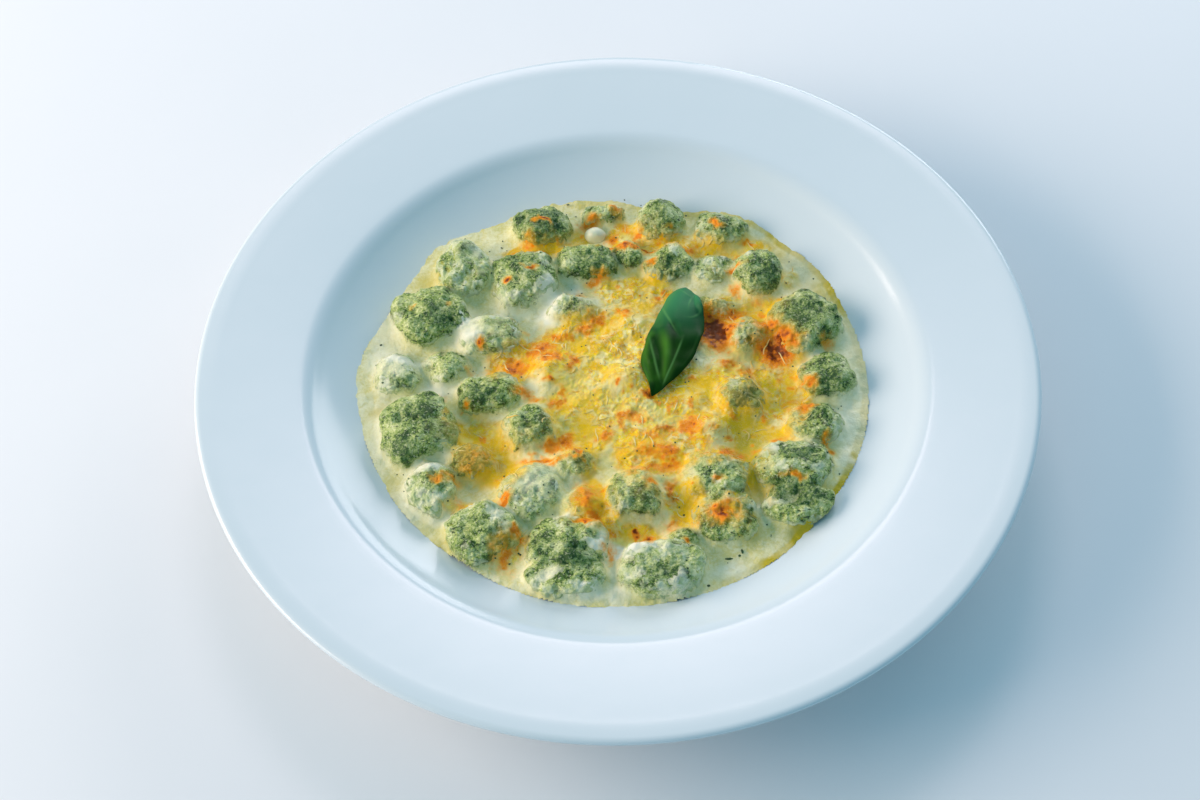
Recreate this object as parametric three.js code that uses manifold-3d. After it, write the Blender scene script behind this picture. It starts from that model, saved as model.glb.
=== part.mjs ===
// Spinach and potato gnocchi baked in cream under melted cheese, in a wide-rimmed white plate,
// with one basil leaf on top. Millimetres, +Z up, origin on the table under the plate's centre.
import * as THREE from 'three';
import { mergeVertices } from 'three/addons/utils/BufferGeometryUtils.js';
import Module from 'manifold-3d';

// ---- Driving dimensions -------------------------------------------------------------------

const GAP = 0.3; // clearance kept between touching pieces

const PLATE = {
  radius: 150,
  rimHeight: 36,
  wellRadius: 110,
  wellHeight: 31,
  floorRadius: 50,
  floorHeight: 12,
  footInner: 64,
  footOuter: 70,
  underFloor: 6, // height of the underside inside the foot ring
  underRim: 26.4, // height of the underside below the well's edge
  footDraft: 1.5, // lean of the foot ring's outer side
  bevel: 0.8, // lean of its inner side
  wallHold: 8, // how far the wall's steep top and the floor carry on into the wall's curve
  wallDrop: 7.7,
  floorHold: 28,
  underHold: [10, 13], // the same for the underside, at its foot and at its rim
  lip: 1.4, // radius of the rounded rim edge
  segments: 52,
};

// Corners of the rounded rim edge, from below: inset and drop, in lip radii.
const LIP_CORNERS = [[1.6, 2.4], [0.3, 1.8], [0, 0.9], [0.4, 0.2], [1.2, 0]];

const SAUCE = {
  radius: 90.7,
  level: 19.8,
  ripple: { height: 0.4, size: 9, seed: 3 },
  wallBlend: 0.75, // share of the radius where the surface starts to turn up or down to the wall
  rings: 7,
  // where the edge reaches further up the wall or stops short: degrees, spread, millimetres
  edge: [[175, 16, 4], [78, 18, -3], [57, 8, 2], [232, 14, -1.7], [310, 20, 0.6]],
};

const CHEESE = {
  centre: [5, -13],
  across: 47, // half-widths of the melted field
  deep: 56,
  thickness: 2.6,
  edgeThickness: 0.9,
  ripple: { height: 0.7, size: 5, seed: 8 },
  taper: 0.7, // share of the radius where it starts to thin out
  rings: 6,
  segments: 36,
  edge: [[20, 14, 5], [65, 16, -5], [110, 12, 4], [160, 18, -5], [205, 14, 4], [250, 14, 5],
    [290, 12, -6], [335, 14, -4]],
  // dumplings wholly under the cheese: x, y, half-width, half-depth, rise
  lumps: [[4, -2, 8, 6, 4.2], [33, -24, 7.5, 6, 4], [-26, 4, 8.5, 6, 4], [8, 22, 9, 7, 2.4],
    [14, -32, 9, 6, 2.6]],
};

// Each dumpling: x and y of its middle, width, depth, height of its top, turn in degrees.
const DUMPLINGS = [
  [-26, 72, 22, 17, 30, 15],
  [-2, 78, 16, 9, 26, 5],
  [19, 73, 18, 18, 30.5, 40],
  [41, 68, 20, 13, 27.5, -20],
  [-56, 52, 19, 22, 30.5, 35],
  [-33, 47, 24, 25, 29.5, 10],
  [-9, 54, 22, 15, 28, 4],
  [21, 52, 18, 14, 27.5, 20],
  [38, 49, 15, 11, 26, -10],
  [55, 46, 17, 18, 29.5, 30],
  [-68, 31, 24, 21, 30.5, 25],
  [-15, 32, 18, 12, 27, -8],
  [-46, 21, 23, 17, 28, 12],
  [69, 21, 25, 24, 30, 40],
  [36, 31, 14, 10, 26.5, 0],
  [48.5, 17, 15, 15, 27.5, 20],
  [-79, 5, 17, 18, 26.5, 10],
  [-62, 8, 15, 13, 26.5, 30],
  [-46, -5, 21, 18, 28, 8],
  [75, -3, 18, 18, 28.5, 15],
  [-71, -20, 25, 26, 30.5, 20],
  [-32, -21, 17, 17, 28, 25],
  [44, -11, 17, 14, 27.5, 12],
  [69, -23, 19, 16, 27.5, -15],
  [-52, -34, 15, 15, 27, 30],
  [-66, -45, 16, 20, 28, -30],
  [-16.5, -38, 16, 11, 26.5, 5],
  [-32, -49, 21, 20, 28.5, 35],
  [33, -44, 23, 18, 28, -12],
  [36, -63, 22, 15, 27.5, 15],
  [60, -38, 26, 16, 29, -18],
  [59, -56, 22, 15, 28, -35],
  [-48, -64, 23, 21, 30, 30],
  [4, -51, 21, 20, 29, 20],
  [-19, -68, 27, 15, 28.5, -6],
  [-19, -82.5, 28, 11, 26.5, 8],
  [12, -80, 29, 15, 29.5, -8],
  [20, -68, 12, 7, 25.5, 10],
  [-14, -54, 14, 12, 27, 40],
  [6.5, 57, 10, 12, 27.5, 20],
];

const DUMPLING = {
  squareness: 2.7, // 2 is an ellipsoid, larger is closer to a rounded block
  lumpiness: 0.07,
  tallest: 20,
  floorClearance: 1.3, // dough stays this far above the plate
  edgeThickness: 0.6, // of the dough's feather edge where it lies against the wall
  detail: 1, // splits of an icosahedron's faces
};

const CREAM_BALL = { x: -6, y: 69, width: 8.5, depth: 7, bottom: 16, top: 25 };

const LEAF = {
  base: [28, 38],
  tip: [12, -11],
  bend: 1.5, // sideways bow of the midrib
  halfWidth: 10.5,
  endWidth: 0.7, // half-width of the blunt ends
  thickness: 0.8,
  restHeight: 25.6, // lowest height of the underside
  crown: 2.6, // rise of the middle of the leaf
  pleat: 0.7, // depth of the folds beside the midrib
  along: 11,
  across: 8,
};

// ---- Solids -------------------------------------------------------------------------------

const wasm = await Module();
wasm.setup();

// A closed three.js geometry as a manifold-3d solid.
function solidFrom(geometry) {
  const bare = geometry.clone();
  bare.deleteAttribute('normal');
  bare.deleteAttribute('uv');
  const merged = mergeVertices(bare);
  return new wasm.Manifold(new wasm.Mesh({
    numProp: 3,
    vertProperties: new Float32Array(merged.attributes.position.array),
    triVerts: new Uint32Array(merged.index.array),
  }));
}

// The largest body of a solid, without the loose scraps that a cut can leave.
function largestBody(solid) {
  const bodies = solid.decompose();
  return bodies.reduce((best, body) => (body.volume() > best.volume() ? body : best));
}

const WELD = 0.01; // details finer than this are closed up after a cut

// A named three.js mesh of a solid.
function meshOf(name, solid, material) {
  const { numProp, vertProperties, triVerts } = solid.simplify(WELD).getMesh();
  const positions = new Float32Array((vertProperties.length / numProp) * 3);
  for (let i = 0; i < positions.length / 3; i += 1) {
    positions.set(vertProperties.subarray(i * numProp, i * numProp + 3), i * 3);
  }
  const geometry = new THREE.BufferGeometry();
  geometry.setAttribute('position', new THREE.BufferAttribute(positions, 3));
  geometry.setIndex(new THREE.BufferAttribute(new Uint32Array(triVerts), 1));
  geometry.computeVertexNormals();
  const mesh = new THREE.Mesh(geometry, material);
  mesh.name = name;
  return mesh;
}

// Moves every vertex of a geometry to the place that the function gives for it.
function reshape(geometry, place) {
  const position = geometry.attributes.position;
  const point = new THREE.Vector3();
  for (let i = 0; i < position.count; i += 1) {
    point.fromBufferAttribute(position, i);
    place(point);
    position.setXYZ(i, point.x, point.y, point.z);
  }
  return geometry;
}

// Smooth unevenness between about -1 and 1, with swells of about the given size.
function swell(x, y, { size, seed }) {
  const long = Math.sin(x / size + seed * 1.7) * Math.cos(y / size - seed * 2.3);
  const cross = Math.sin((x - y) / (size * 0.6) + seed);
  return (long + 0.5 * cross) / 1.5;
}

// Sum of bell-shaped reaches round an edge, each given as [degrees, spread, reach].
function edgeReach(bells, angle) {
  const degrees = THREE.MathUtils.radToDeg(angle);
  return bells.reduce((sum, [at, spread, reach]) => {
    const away = THREE.MathUtils.euclideanModulo(degrees - at + 180, 360) - 180;
    return sum + reach * Math.exp(-((away / spread) ** 2));
  }, 0);
}

// A lens-shaped solid over a disc: a lathed blank whose rings are then moved to the radius, the
// underside and the top that the functions give. share is 0 in the middle and 1 at the edge.
function lens({ rings, segments, centre, radius, under, top, edge }) {
  const shares = Array.from({ length: rings }, (_, i) => i / rings);
  const profile = [
    ...shares.map((share) => new THREE.Vector2(share, -1)),
    new THREE.Vector2(1, 0),
    ...shares.reverse().map((share) => new THREE.Vector2(share, 1)),
  ];
  const blank = new THREE.LatheGeometry(profile, segments).rotateX(Math.PI / 2);
  return reshape(blank, (point) => {
    const share = Math.hypot(point.x, point.y);
    const angle = share > 0 ? Math.atan2(point.y, point.x) : 0;
    const reach = share * radius(angle);
    const side = Math.round(point.z);
    point.x = centre[0] + reach * Math.cos(angle);
    point.y = centre[1] + reach * Math.sin(angle);
    const heightAt = [under, edge, top][side + 1];
    point.z = heightAt(point.x, point.y, share, angle);
  });
}

// ---- Plate --------------------------------------------------------------------------------

const WALL_STEPS = 6;

// Adds the inside of the well to a path, from the rim down to the middle of the floor.
function wellCurve(path) {
  const { wellRadius, wellHeight, floorRadius, floorHeight, wallHold, wallDrop, floorHold } = PLATE;
  path.lineTo(wellRadius, wellHeight);
  path.bezierCurveTo(wellRadius - wallHold, wellHeight - wallDrop,
    floorRadius + floorHold, floorHeight, floorRadius, floorHeight);
  path.lineTo(0, floorHeight);
  return path;
}

// The plate's section, turned about its axis: underside, foot ring, rim and well.
function makePlate() {
  const { radius, rimHeight, wellRadius, footInner, footOuter, underFloor, underRim, underHold,
    footDraft, bevel, lip, segments } = PLATE;
  const path = new THREE.Path();
  path.moveTo(0, underFloor);
  path.lineTo(footInner - bevel, underFloor);
  path.lineTo(footInner, 0);
  path.lineTo(footOuter, 0);
  path.lineTo(footOuter + footDraft, underFloor);
  path.bezierCurveTo(footOuter + footDraft + underHold[0], underFloor + bevel * 3,
    wellRadius - underHold[1], underRim - bevel, wellRadius + footDraft, underRim);
  LIP_CORNERS.forEach(([inset, drop]) => path.lineTo(radius - lip * inset, rimHeight - lip * drop));
  wellCurve(path);
  return new THREE.LatheGeometry(path.getPoints(WALL_STEPS), segments).rotateX(Math.PI / 2);
}

const wellPoints = wellCurve(new THREE.Path([new THREE.Vector2(PLATE.radius, PLATE.rimHeight)]))
  .getPoints(WALL_STEPS);

// Height of the inside of the well at a distance from the axis.
function wellHeightAt(radius) {
  const inner = wellPoints.findIndex((point) => point.x <= radius);
  if (inner <= 0) {
    return PLATE.rimHeight;
  }
  const [outside, inside] = [wellPoints[inner - 1], wellPoints[inner]];
  return THREE.MathUtils.mapLinear(radius, inside.x, outside.x, inside.y, outside.y);
}

// ---- Dumplings ----------------------------------------------------------------------------

// One dumpling as a rounded, slightly lumpy block that settles on the floor and wall of the well.
// grown makes it larger all round, for the socket that it leaves in what surrounds it.
function dumpling([x, y, width, depth, top, turn], index, grown = 0) {
  const { squareness, lumpiness, tallest, floorClearance, edgeThickness, detail } = DUMPLING;
  const floor = wellHeightAt(Math.hypot(x, y)) + floorClearance;
  const height = Math.min(tallest, top - floor, width + 3);
  const half = new THREE.Vector3(width, depth, height).multiplyScalar(0.5).addScalar(grown);
  const angle = THREE.MathUtils.degToRad(turn);
  const up = new THREE.Vector3(0, 0, 1);
  const ball = new THREE.IcosahedronGeometry(1, detail);
  return reshape(ball, (point) => {
    const upward = point.z > -0.01;
    const lump = 1 + lumpiness * swell(point.x, point.y + point.z / 2, { size: 0.5, seed: index });
    const norm = (Math.abs(point.x) ** squareness + Math.abs(point.y) ** squareness
      + Math.abs(point.z) ** squareness) ** (1 / squareness);
    point.divideScalar(norm).applyAxisAngle(up, angle).multiplyScalar(lump).multiply(half);
    point.x += x;
    point.y += y;
    point.z += top - height / 2;
    const lowest = wellHeightAt(Math.hypot(point.x, point.y)) + floorClearance - grown;
    point.z = Math.max(point.z, lowest + (upward ? edgeThickness + 2 * grown : 0));
  });
}

// ---- Cream ball ---------------------------------------------------------------------------

// A small round dollop of cream.
function creamBall(grown = 0) {
  const { x, y, width, depth, bottom, top } = CREAM_BALL;
  return new THREE.IcosahedronGeometry(1, DUMPLING.detail)
    .scale(width / 2 + grown, depth / 2 + grown, (top - bottom) / 2 + grown)
    .translate(x, y, (top + bottom) / 2);
}

// ---- Sauce --------------------------------------------------------------------------------

function sauceLevel(x, y) {
  return SAUCE.level + SAUCE.ripple.height * swell(x, y, SAUCE.ripple);
}

function sauceRadius(angle) {
  return SAUCE.radius + edgeReach(SAUCE.edge, angle);
}

// Sauce filling the well up to its level, thinning to nothing where it meets the wall.
function sauceFill() {
  const onPlate = (x, y) => wellHeightAt(Math.hypot(x, y)) + GAP;
  return lens({
    rings: SAUCE.rings,
    segments: PLATE.segments,
    centre: [0, 0],
    radius: sauceRadius,
    under: onPlate,
    edge: onPlate,
    top: (x, y, share, angle) => {
      const wall = wellHeightAt(sauceRadius(angle)) + GAP;
      const nearWall = THREE.MathUtils.smoothstep(share, SAUCE.wallBlend, 1);
      return THREE.MathUtils.lerp(sauceLevel(x, y), wall, nearWall);
    },
  });
}

// ---- Melted cheese ------------------------------------------------------------------------

// Height of the cheese's surface, with a rise over each dumpling that it hides.
function cheeseTop(x, y, share) {
  const thin = THREE.MathUtils.smoothstep(share, CHEESE.taper, 1);
  const body = CHEESE.thickness + CHEESE.ripple.height * swell(x, y, CHEESE.ripple);
  const lumps = CHEESE.lumps.reduce((sum, [lx, ly, across, deep, rise]) => (
    sum + rise * Math.exp(-(((x - lx) / across) ** 2) - ((y - ly) / deep) ** 2)
  ), 0);
  const thickness = THREE.MathUtils.lerp(body, CHEESE.edgeThickness, thin);
  return sauceLevel(x, y) + 2 * GAP + thickness + lumps * (1 - thin);
}

// The melted field, lying on the sauce in the middle of the well.
function cheeseBlanket() {
  const onSauce = (x, y) => sauceLevel(x, y) + 2 * GAP;
  return lens({
    rings: CHEESE.rings,
    segments: CHEESE.segments,
    centre: CHEESE.centre,
    radius: (angle) => {
      const across = Math.cos(angle) / CHEESE.across;
      const deep = Math.sin(angle) / CHEESE.deep;
      return 1 / Math.hypot(across, deep) + edgeReach(CHEESE.edge, angle);
    },
    under: onSauce,
    edge: (x, y) => onSauce(x, y) + CHEESE.edgeThickness / 2,
    top: cheeseTop,
  });
}

// ---- Basil leaf ---------------------------------------------------------------------------

// A place on the leaf's underside, given by along, 0 at the base and 1 at the tip, and across, from
// -1 to 1.
function leafPlace(along, across) {
  const base = new THREE.Vector2(...LEAF.base);
  const stem = new THREE.Vector2(...LEAF.tip).sub(base);
  const side = new THREE.Vector2(-stem.y, stem.x).normalize();
  const outline = Math.sin(Math.PI * along ** 0.85) ** 0.65;
  const halfWidth = Math.max(LEAF.endWidth, LEAF.halfWidth * outline);
  const bow = LEAF.bend * Math.sin(Math.PI * along);
  const flat = base.addScaledVector(stem, along).addScaledVector(side, halfWidth * across + bow);
  const crown = LEAF.crown * Math.sin(Math.PI * along) ** 0.8 * (1 - across ** 2);
  const pleats = LEAF.pleat * Math.cos(3 * Math.PI * across) * Math.sin(Math.PI * along);
  return new THREE.Vector3(flat.x, flat.y, LEAF.restHeight + LEAF.pleat + crown + pleats);
}

// A thin wavy sheet whose upper and lower faces are split into triangles alike.
function makeLeaf() {
  const { along, across, thickness } = LEAF;
  const columns = across + 1;
  const perFace = (along + 1) * columns;
  const positions = [];
  const index = [];
  for (const drop of [0, thickness]) {
    for (let i = 0; i <= along; i += 1) {
      for (let j = 0; j <= across; j += 1) {
        const place = leafPlace(i / along, (2 * j) / across - 1);
        positions.push(place.x, place.y, place.z + thickness - drop);
      }
    }
  }
  const quad = (a, b, c, d) => index.push(a, d, b, b, d, c);
  for (let i = 0; i < along; i += 1) {
    for (let j = 0; j < across; j += 1) {
      const corner = i * columns + j;
      const [a, b, c, d] = [corner, corner + 1, corner + columns + 1, corner + columns];
      quad(a, b, c, d);
      quad(a + perFace, d + perFace, c + perFace, b + perFace);
    }
  }
  const rimLoop = [];
  for (let j = 0; j < across; j += 1) rimLoop.push(j);
  for (let i = 0; i < along; i += 1) rimLoop.push(i * columns + across);
  for (let j = across; j > 0; j -= 1) rimLoop.push(along * columns + j);
  for (let i = along; i > 0; i -= 1) rimLoop.push(i * columns);
  rimLoop.forEach((from, k) => {
    const to = rimLoop[(k + 1) % rimLoop.length];
    quad(to, from, from + perFace, to + perFace);
  });
  const geometry = new THREE.BufferGeometry();
  geometry.setAttribute('position', new THREE.Float32BufferAttribute(positions, 3));
  geometry.setIndex(index);
  return geometry;
}

// ---- Materials ----------------------------------------------------------------------------

const finish = (color, roughness) => (
  new THREE.MeshStandardMaterial({ color, roughness, metalness: 0 })
);

// The dough's green varies a little from dumpling to dumpling.
function spinachDough(index) {
  const [hue, shift, saturation, lightness] = [0.27, 0.02, 0.25, 0.45];
  const green = new THREE.Color().setHSL(hue + shift * Math.sin(index), saturation, lightness);
  return finish(green, 0.55);
}

// ---- Assembly -----------------------------------------------------------------------------

const gnocchi = new THREE.Group();
gnocchi.add(meshOf('plate', solidFrom(makePlate()), finish(0xeef2f5, 0.12)));

DUMPLINGS.forEach((row, index) => {
  const name = `gnocco_${String(index + 1).padStart(2, '0')}`;
  gnocchi.add(meshOf(name, solidFrom(dumpling(row, index)), spinachDough(index)));
});

gnocchi.add(meshOf('cream_ball', solidFrom(creamBall()), finish(0xeeecd8, 0.4)));

const sockets = DUMPLINGS.map((row, index) => solidFrom(dumpling(row, index, GAP)));
sockets.push(solidFrom(creamBall(GAP)));

const aroundDumplings = (geometry) => largestBody(
  sockets.reduce((rest, socket) => rest.subtract(socket), solidFrom(geometry)),
);
gnocchi.add(meshOf('sauce', aroundDumplings(sauceFill()), finish(0xe0ddb8, 0.35)));
gnocchi.add(meshOf('melted_cheese', aroundDumplings(cheeseBlanket()), finish(0xdcb548, 0.4)));
gnocchi.add(meshOf('basil_leaf', solidFrom(makeLeaf()), finish(0x2f7a35, 0.3)));

export default gnocchi;
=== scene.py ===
import math
from functools import partial

import bmesh
import bpy
import numpy as np
from mathutils import Matrix, Vector
from mathutils.bvhtree import BVHTree
from mathutils.geometry import interpolate_bezier


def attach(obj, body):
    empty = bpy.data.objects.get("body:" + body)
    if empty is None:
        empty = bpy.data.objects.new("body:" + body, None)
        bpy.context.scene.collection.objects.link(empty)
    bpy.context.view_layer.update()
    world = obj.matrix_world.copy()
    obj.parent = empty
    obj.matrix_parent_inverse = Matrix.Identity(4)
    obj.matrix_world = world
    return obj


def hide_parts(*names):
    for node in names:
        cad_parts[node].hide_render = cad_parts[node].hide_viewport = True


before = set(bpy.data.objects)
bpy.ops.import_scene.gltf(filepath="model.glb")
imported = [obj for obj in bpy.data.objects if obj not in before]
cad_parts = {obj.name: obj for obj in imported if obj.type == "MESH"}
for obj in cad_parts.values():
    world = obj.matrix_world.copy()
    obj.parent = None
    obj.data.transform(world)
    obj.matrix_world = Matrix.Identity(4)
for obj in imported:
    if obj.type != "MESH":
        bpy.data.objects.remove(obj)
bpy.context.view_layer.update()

MM = 0.001
scene = bpy.context.scene

# ---- Table, camera and light ------------------------------------------------------------------
# The plate stands on a plain pale table. A low wide window on the left is the key light, two
# behind are weaker, and the open sky fills the shadows with a cooler blue.

CAMERA_PLACE = (-6.27, -411.84, 591.03)
CAMERA_ELEVATION, CAMERA_ROLL = 54.69, 2.04  # degrees
LENS, SENSOR = 58.34, 36.0
CLIP_START, CLIP_END = 0.01, 20  # metres
TABLE_SIZE = 4.0  # metres from the middle to each side
# name, place, width and height in metres, power, colour; each faces the plate
WINDOWS = [
    ("near_window", (-1.27, 0.0, 0.59), (1.2, 0.7), 23.9, (1.0, 0.8, 0.69)),
    ("back_window", (0.0, 1.697, 1.697), (0.8, 0.6), 9.8, (1.0, 0.82, 0.84)),
    ("side_window", (0.53, 1.06, 0.38), (0.8, 0.55), 6.8, (1.0, 0.92, 0.92)),
]
SKY = {"Color": (0.36, 0.76, 1.0, 1), "Strength": 0.51}


def colour(hex_code):
    """The linear colour of an sRGB hex value."""
    channels = [int(hex_code[i:i + 2], 16) / 255 for i in (1, 3, 5)]
    linear = [c / 12.92 if c <= 0.04045 else ((c + 0.055) / 1.055) ** 2.4 for c in channels]
    return (*linear, 1.0)


def set_inputs(node, inputs):
    """Gives a node's inputs their links, hex colours or values."""
    for name, value in inputs.items():
        if isinstance(value, bpy.types.NodeSocket):
            node.id_data.links.new(value, node.inputs[name])
        else:
            node.inputs[name].default_value = colour(value) if isinstance(value, str) else value


def add_node(tree, kind, inputs=None, stops=(), **settings):
    """Adds a shader node with its settings, inputs and ramp stops, and returns its output."""
    node = tree.nodes.new("ShaderNode" + kind)
    for name, value in settings.items():
        setattr(node, name, value)
    for number, (position, tint) in enumerate(stops):
        elements = node.color_ramp.elements
        element = elements[number] if number < 2 else elements.new(position)
        element.position = position
        element.color = colour(tint) if isinstance(tint, str) else tint
    set_inputs(node, inputs or {})
    return next((output for output in node.outputs if output.enabled), None)


def start_finish(name):
    """A new material, the function that adds its nodes, the place on the piece, and its shader."""
    material = bpy.data.materials.new(name)
    material.use_nodes = True
    material.node_tree.nodes.clear()
    add = partial(add_node, material.node_tree)
    surface = add("BsdfPrincipled")
    add("OutputMaterial", {"Surface": surface})
    return material, add, add("TexCoord").node.outputs["Object"], surface.node


def noise(add, place, size, detail, roughness=0.5, distortion=0.0):
    """A noise pattern with blotches of a given size in millimetres."""
    return add("TexNoise", {"Vector": place, "Scale": 1 / (size * MM), "Detail": detail,
                            "Roughness": roughness, "Distortion": distortion})


def remap(add, value, low, high, top=1.0):
    """A pattern that is 0 at low and top at high, with an even change between."""
    return add("MapRange", {"Value": value, "From Min": low, "From Max": high, "To Max": top})


def combine(add, operation, *values, **settings):
    """One sum on patterns or numbers."""
    return add("Math", dict(enumerate(values)), operation=operation, **settings)


def lay_colours(add, base, *layers):
    """Lays colours over a base in turn. Each layer: its pattern, the share of that taken, its colour."""
    for pattern, share, top in layers:
        amount = combine(add, "MULTIPLY", pattern, share)
        base = add("Mix", {0: amount, 6: base, 7: top}, data_type="RGBA")
    return base


def show_mesh(name, mesh, material):
    """Puts a mesh into the scene under a name, smooth and with one material."""
    mesh.name = name
    mesh.materials.clear()
    mesh.materials.append(material)
    mesh.shade_smooth()
    piece = bpy.data.objects.new(name, mesh)
    scene.collection.objects.link(piece)
    return piece


def mesh_from(shape):
    """Turns a finished bmesh into a mesh."""
    mesh = bpy.data.meshes.new("shape")
    shape.to_mesh(mesh)
    shape.free()
    return mesh


camera_data = bpy.data.cameras.new("camera")
camera_data.lens, camera_data.sensor_width = LENS, SENSOR
camera_data.clip_start, camera_data.clip_end = CLIP_START, CLIP_END
camera = bpy.data.objects.new("camera", camera_data)
rise, roll = math.radians(CAMERA_ELEVATION), math.radians(CAMERA_ROLL)
back = Vector((0, -math.cos(rise), math.sin(rise)))
right, up = Vector((1, 0, 0)), Vector((0, math.sin(rise), math.cos(rise)))
axes = [right * math.cos(roll) - up * math.sin(roll), right * math.sin(roll) + up * math.cos(roll), back]
camera.matrix_world = Matrix.Translation(Vector(CAMERA_PLACE) * MM) @ Matrix(axes).transposed().to_4x4()
scene.collection.objects.link(camera)
scene.camera = camera

table_shape = bmesh.new()
bmesh.ops.create_grid(table_shape, x_segments=1, y_segments=1, size=TABLE_SIZE)
# Matt laminate table top: the faint mottling keeps the large pale field from looking empty.
laminate, add, place, shader = start_finish("white_laminate")
mottle = add("TexNoise", {"Vector": place, "Scale": 14.0, "Detail": 4.0})
set_inputs(shader, {"Base Color": lay_colours(add, "#E6E9EB", (mottle, 1, "#EAECEE")), "Roughness": 0.6,
                    "Specular IOR Level": 0.2})
table = show_mesh("table", mesh_from(table_shape), laminate)

for name, spot, size, power, tint in WINDOWS:
    window_data = bpy.data.lights.new(name, "AREA")
    window_data.shape = "RECTANGLE"
    window_data.size, window_data.size_y = size
    window_data.energy = power
    window_data.color = tint
    window = bpy.data.objects.new(name, window_data)
    window.location = spot
    window.rotation_mode = "QUATERNION"
    window.rotation_quaternion = (-Vector(spot)).to_track_quat("-Z", "Y")
    scene.collection.objects.link(window)

sky = bpy.data.worlds.new("sky")
sky.use_nodes = True
set_inputs(sky.node_tree.nodes["Background"], SKY)
scene.world = sky
scene.view_settings.view_transform = "Standard"

# ---- Plate ------------------------------------------------------------------------------------
# A round pasta plate with a wide, gently rising rim and a deep well, jiggered from porcelain,
# glazed all over but for the ground foot ring that it stands on.

RADIUS, RIM_TOP = 150.0, 36.0
LIP_BASE = 32.6  # height where the rounded lip meets the rim's underside
WELL_RADIUS, WELL_TOP = 110.0, 31.0
WALL_HOLD, WALL_DROP = 8.0, 7.7  # how far in and down the wall's curve holds its first direction
FLOOR_RADIUS, FLOOR_TOP, FLOOR_HOLD = 50.0, 12.0, 28.0
UNDER_FLOOR, UNDER_RIM = 6.0, 26.4  # heights of the underside inside the foot and below the well's edge
UNDER_HOLDS = (10.0, 13.0)
FOOT_INNER, FOOT_OUTER, FOOT_DRAFT = 64.0, 70.0, 1.5
SHOULDER = 3.6  # how far the glaze rounds the corner between rim and wall
SHOULDER_HOLD = 0.75
GROUND = (0.4, 0.8)  # heights between which the ground foot gives way to the glaze
PLATE_STEPS, CURVE_STEPS, LIP_STEPS, SHOULDER_STEPS, RIM_STEPS = 240, 40, 12, 10, 12


def in_section(pairs):
    """Points of the plate's cross-section from pairs of radius and height."""
    return [Vector((radius, 0, height)) for radius, height in pairs]


rim_slope = (RIM_TOP - WELL_TOP) / (RADIUS - WELL_RADIUS)
foot_edge = FOOT_OUTER + FOOT_DRAFT
wall_curve = interpolate_bezier(*in_section([
    (WELL_RADIUS, WELL_TOP), (WELL_RADIUS - WALL_HOLD, WELL_TOP - WALL_DROP),
    (FLOOR_RADIUS + FLOOR_HOLD, FLOOR_TOP), (FLOOR_RADIUS, FLOOR_TOP)]), CURVE_STEPS)
under_curve = interpolate_bezier(*in_section([
    (foot_edge, UNDER_FLOOR), (foot_edge + UNDER_HOLDS[0], UNDER_FLOOR + 2.4),
    (WELL_RADIUS - UNDER_HOLDS[1], UNDER_RIM - 0.8), (WELL_RADIUS + FOOT_DRAFT, UNDER_RIM)]), CURVE_STEPS)
lip_curve = interpolate_bezier(*in_section([
    (RADIUS - 2.6, LIP_BASE - 0.15), (RADIUS + 0.6, LIP_BASE + 0.8),
    (RADIUS + 0.3, RIM_TOP - 0.1), (RADIUS - 2.6, RIM_TOP - 0.25)]), LIP_STEPS)
below = next(i for i, point in enumerate(wall_curve) if point.x < WELL_RADIUS - SHOULDER)
shoulder_top = Vector((WELL_RADIUS + SHOULDER, 0, WELL_TOP + SHOULDER * rim_slope))
shoulder = interpolate_bezier(shoulder_top, shoulder_top.lerp(wall_curve[0], SHOULDER_HOLD),
                              wall_curve[below].lerp(wall_curve[0], SHOULDER_HOLD), wall_curve[below],
                              SHOULDER_STEPS)
section = in_section([
    (0, UNDER_FLOOR), (20, UNDER_FLOOR), (45, UNDER_FLOOR), (FOOT_INNER - 0.9, UNDER_FLOOR),
    (FOOT_INNER - 0.1, 0.6), (FOOT_INNER + 0.5, 0), (FOOT_OUTER - 0.5, 0), (FOOT_OUTER + 0.2, 0.6)])
section += under_curve + lip_curve
section += in_section([(radius, WELL_TOP + (radius - WELL_RADIUS) * rim_slope)
                       for radius in np.linspace(RADIUS - 8, WELL_RADIUS + 6, RIM_STEPS)])
section += shoulder + wall_curve[below + 1:] + in_section([(30, FLOOR_TOP), (15, FLOOR_TOP), (0, FLOOR_TOP)])

plate_shape = bmesh.new()
corners = [plate_shape.verts.new(point * MM) for point in section]
for start, end in zip(corners, corners[1:]):
    plate_shape.edges.new((start, end))
bmesh.ops.spin(plate_shape, geom=plate_shape.verts[:] + plate_shape.edges[:], cent=(0, 0, 0),
               axis=(0, 0, 1), angle=math.tau, steps=PLATE_STEPS, use_merge=True)
bmesh.ops.remove_doubles(plate_shape, verts=plate_shape.verts, dist=1e-6)
bmesh.ops.recalc_face_normals(plate_shape, faces=plate_shape.faces)

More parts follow.
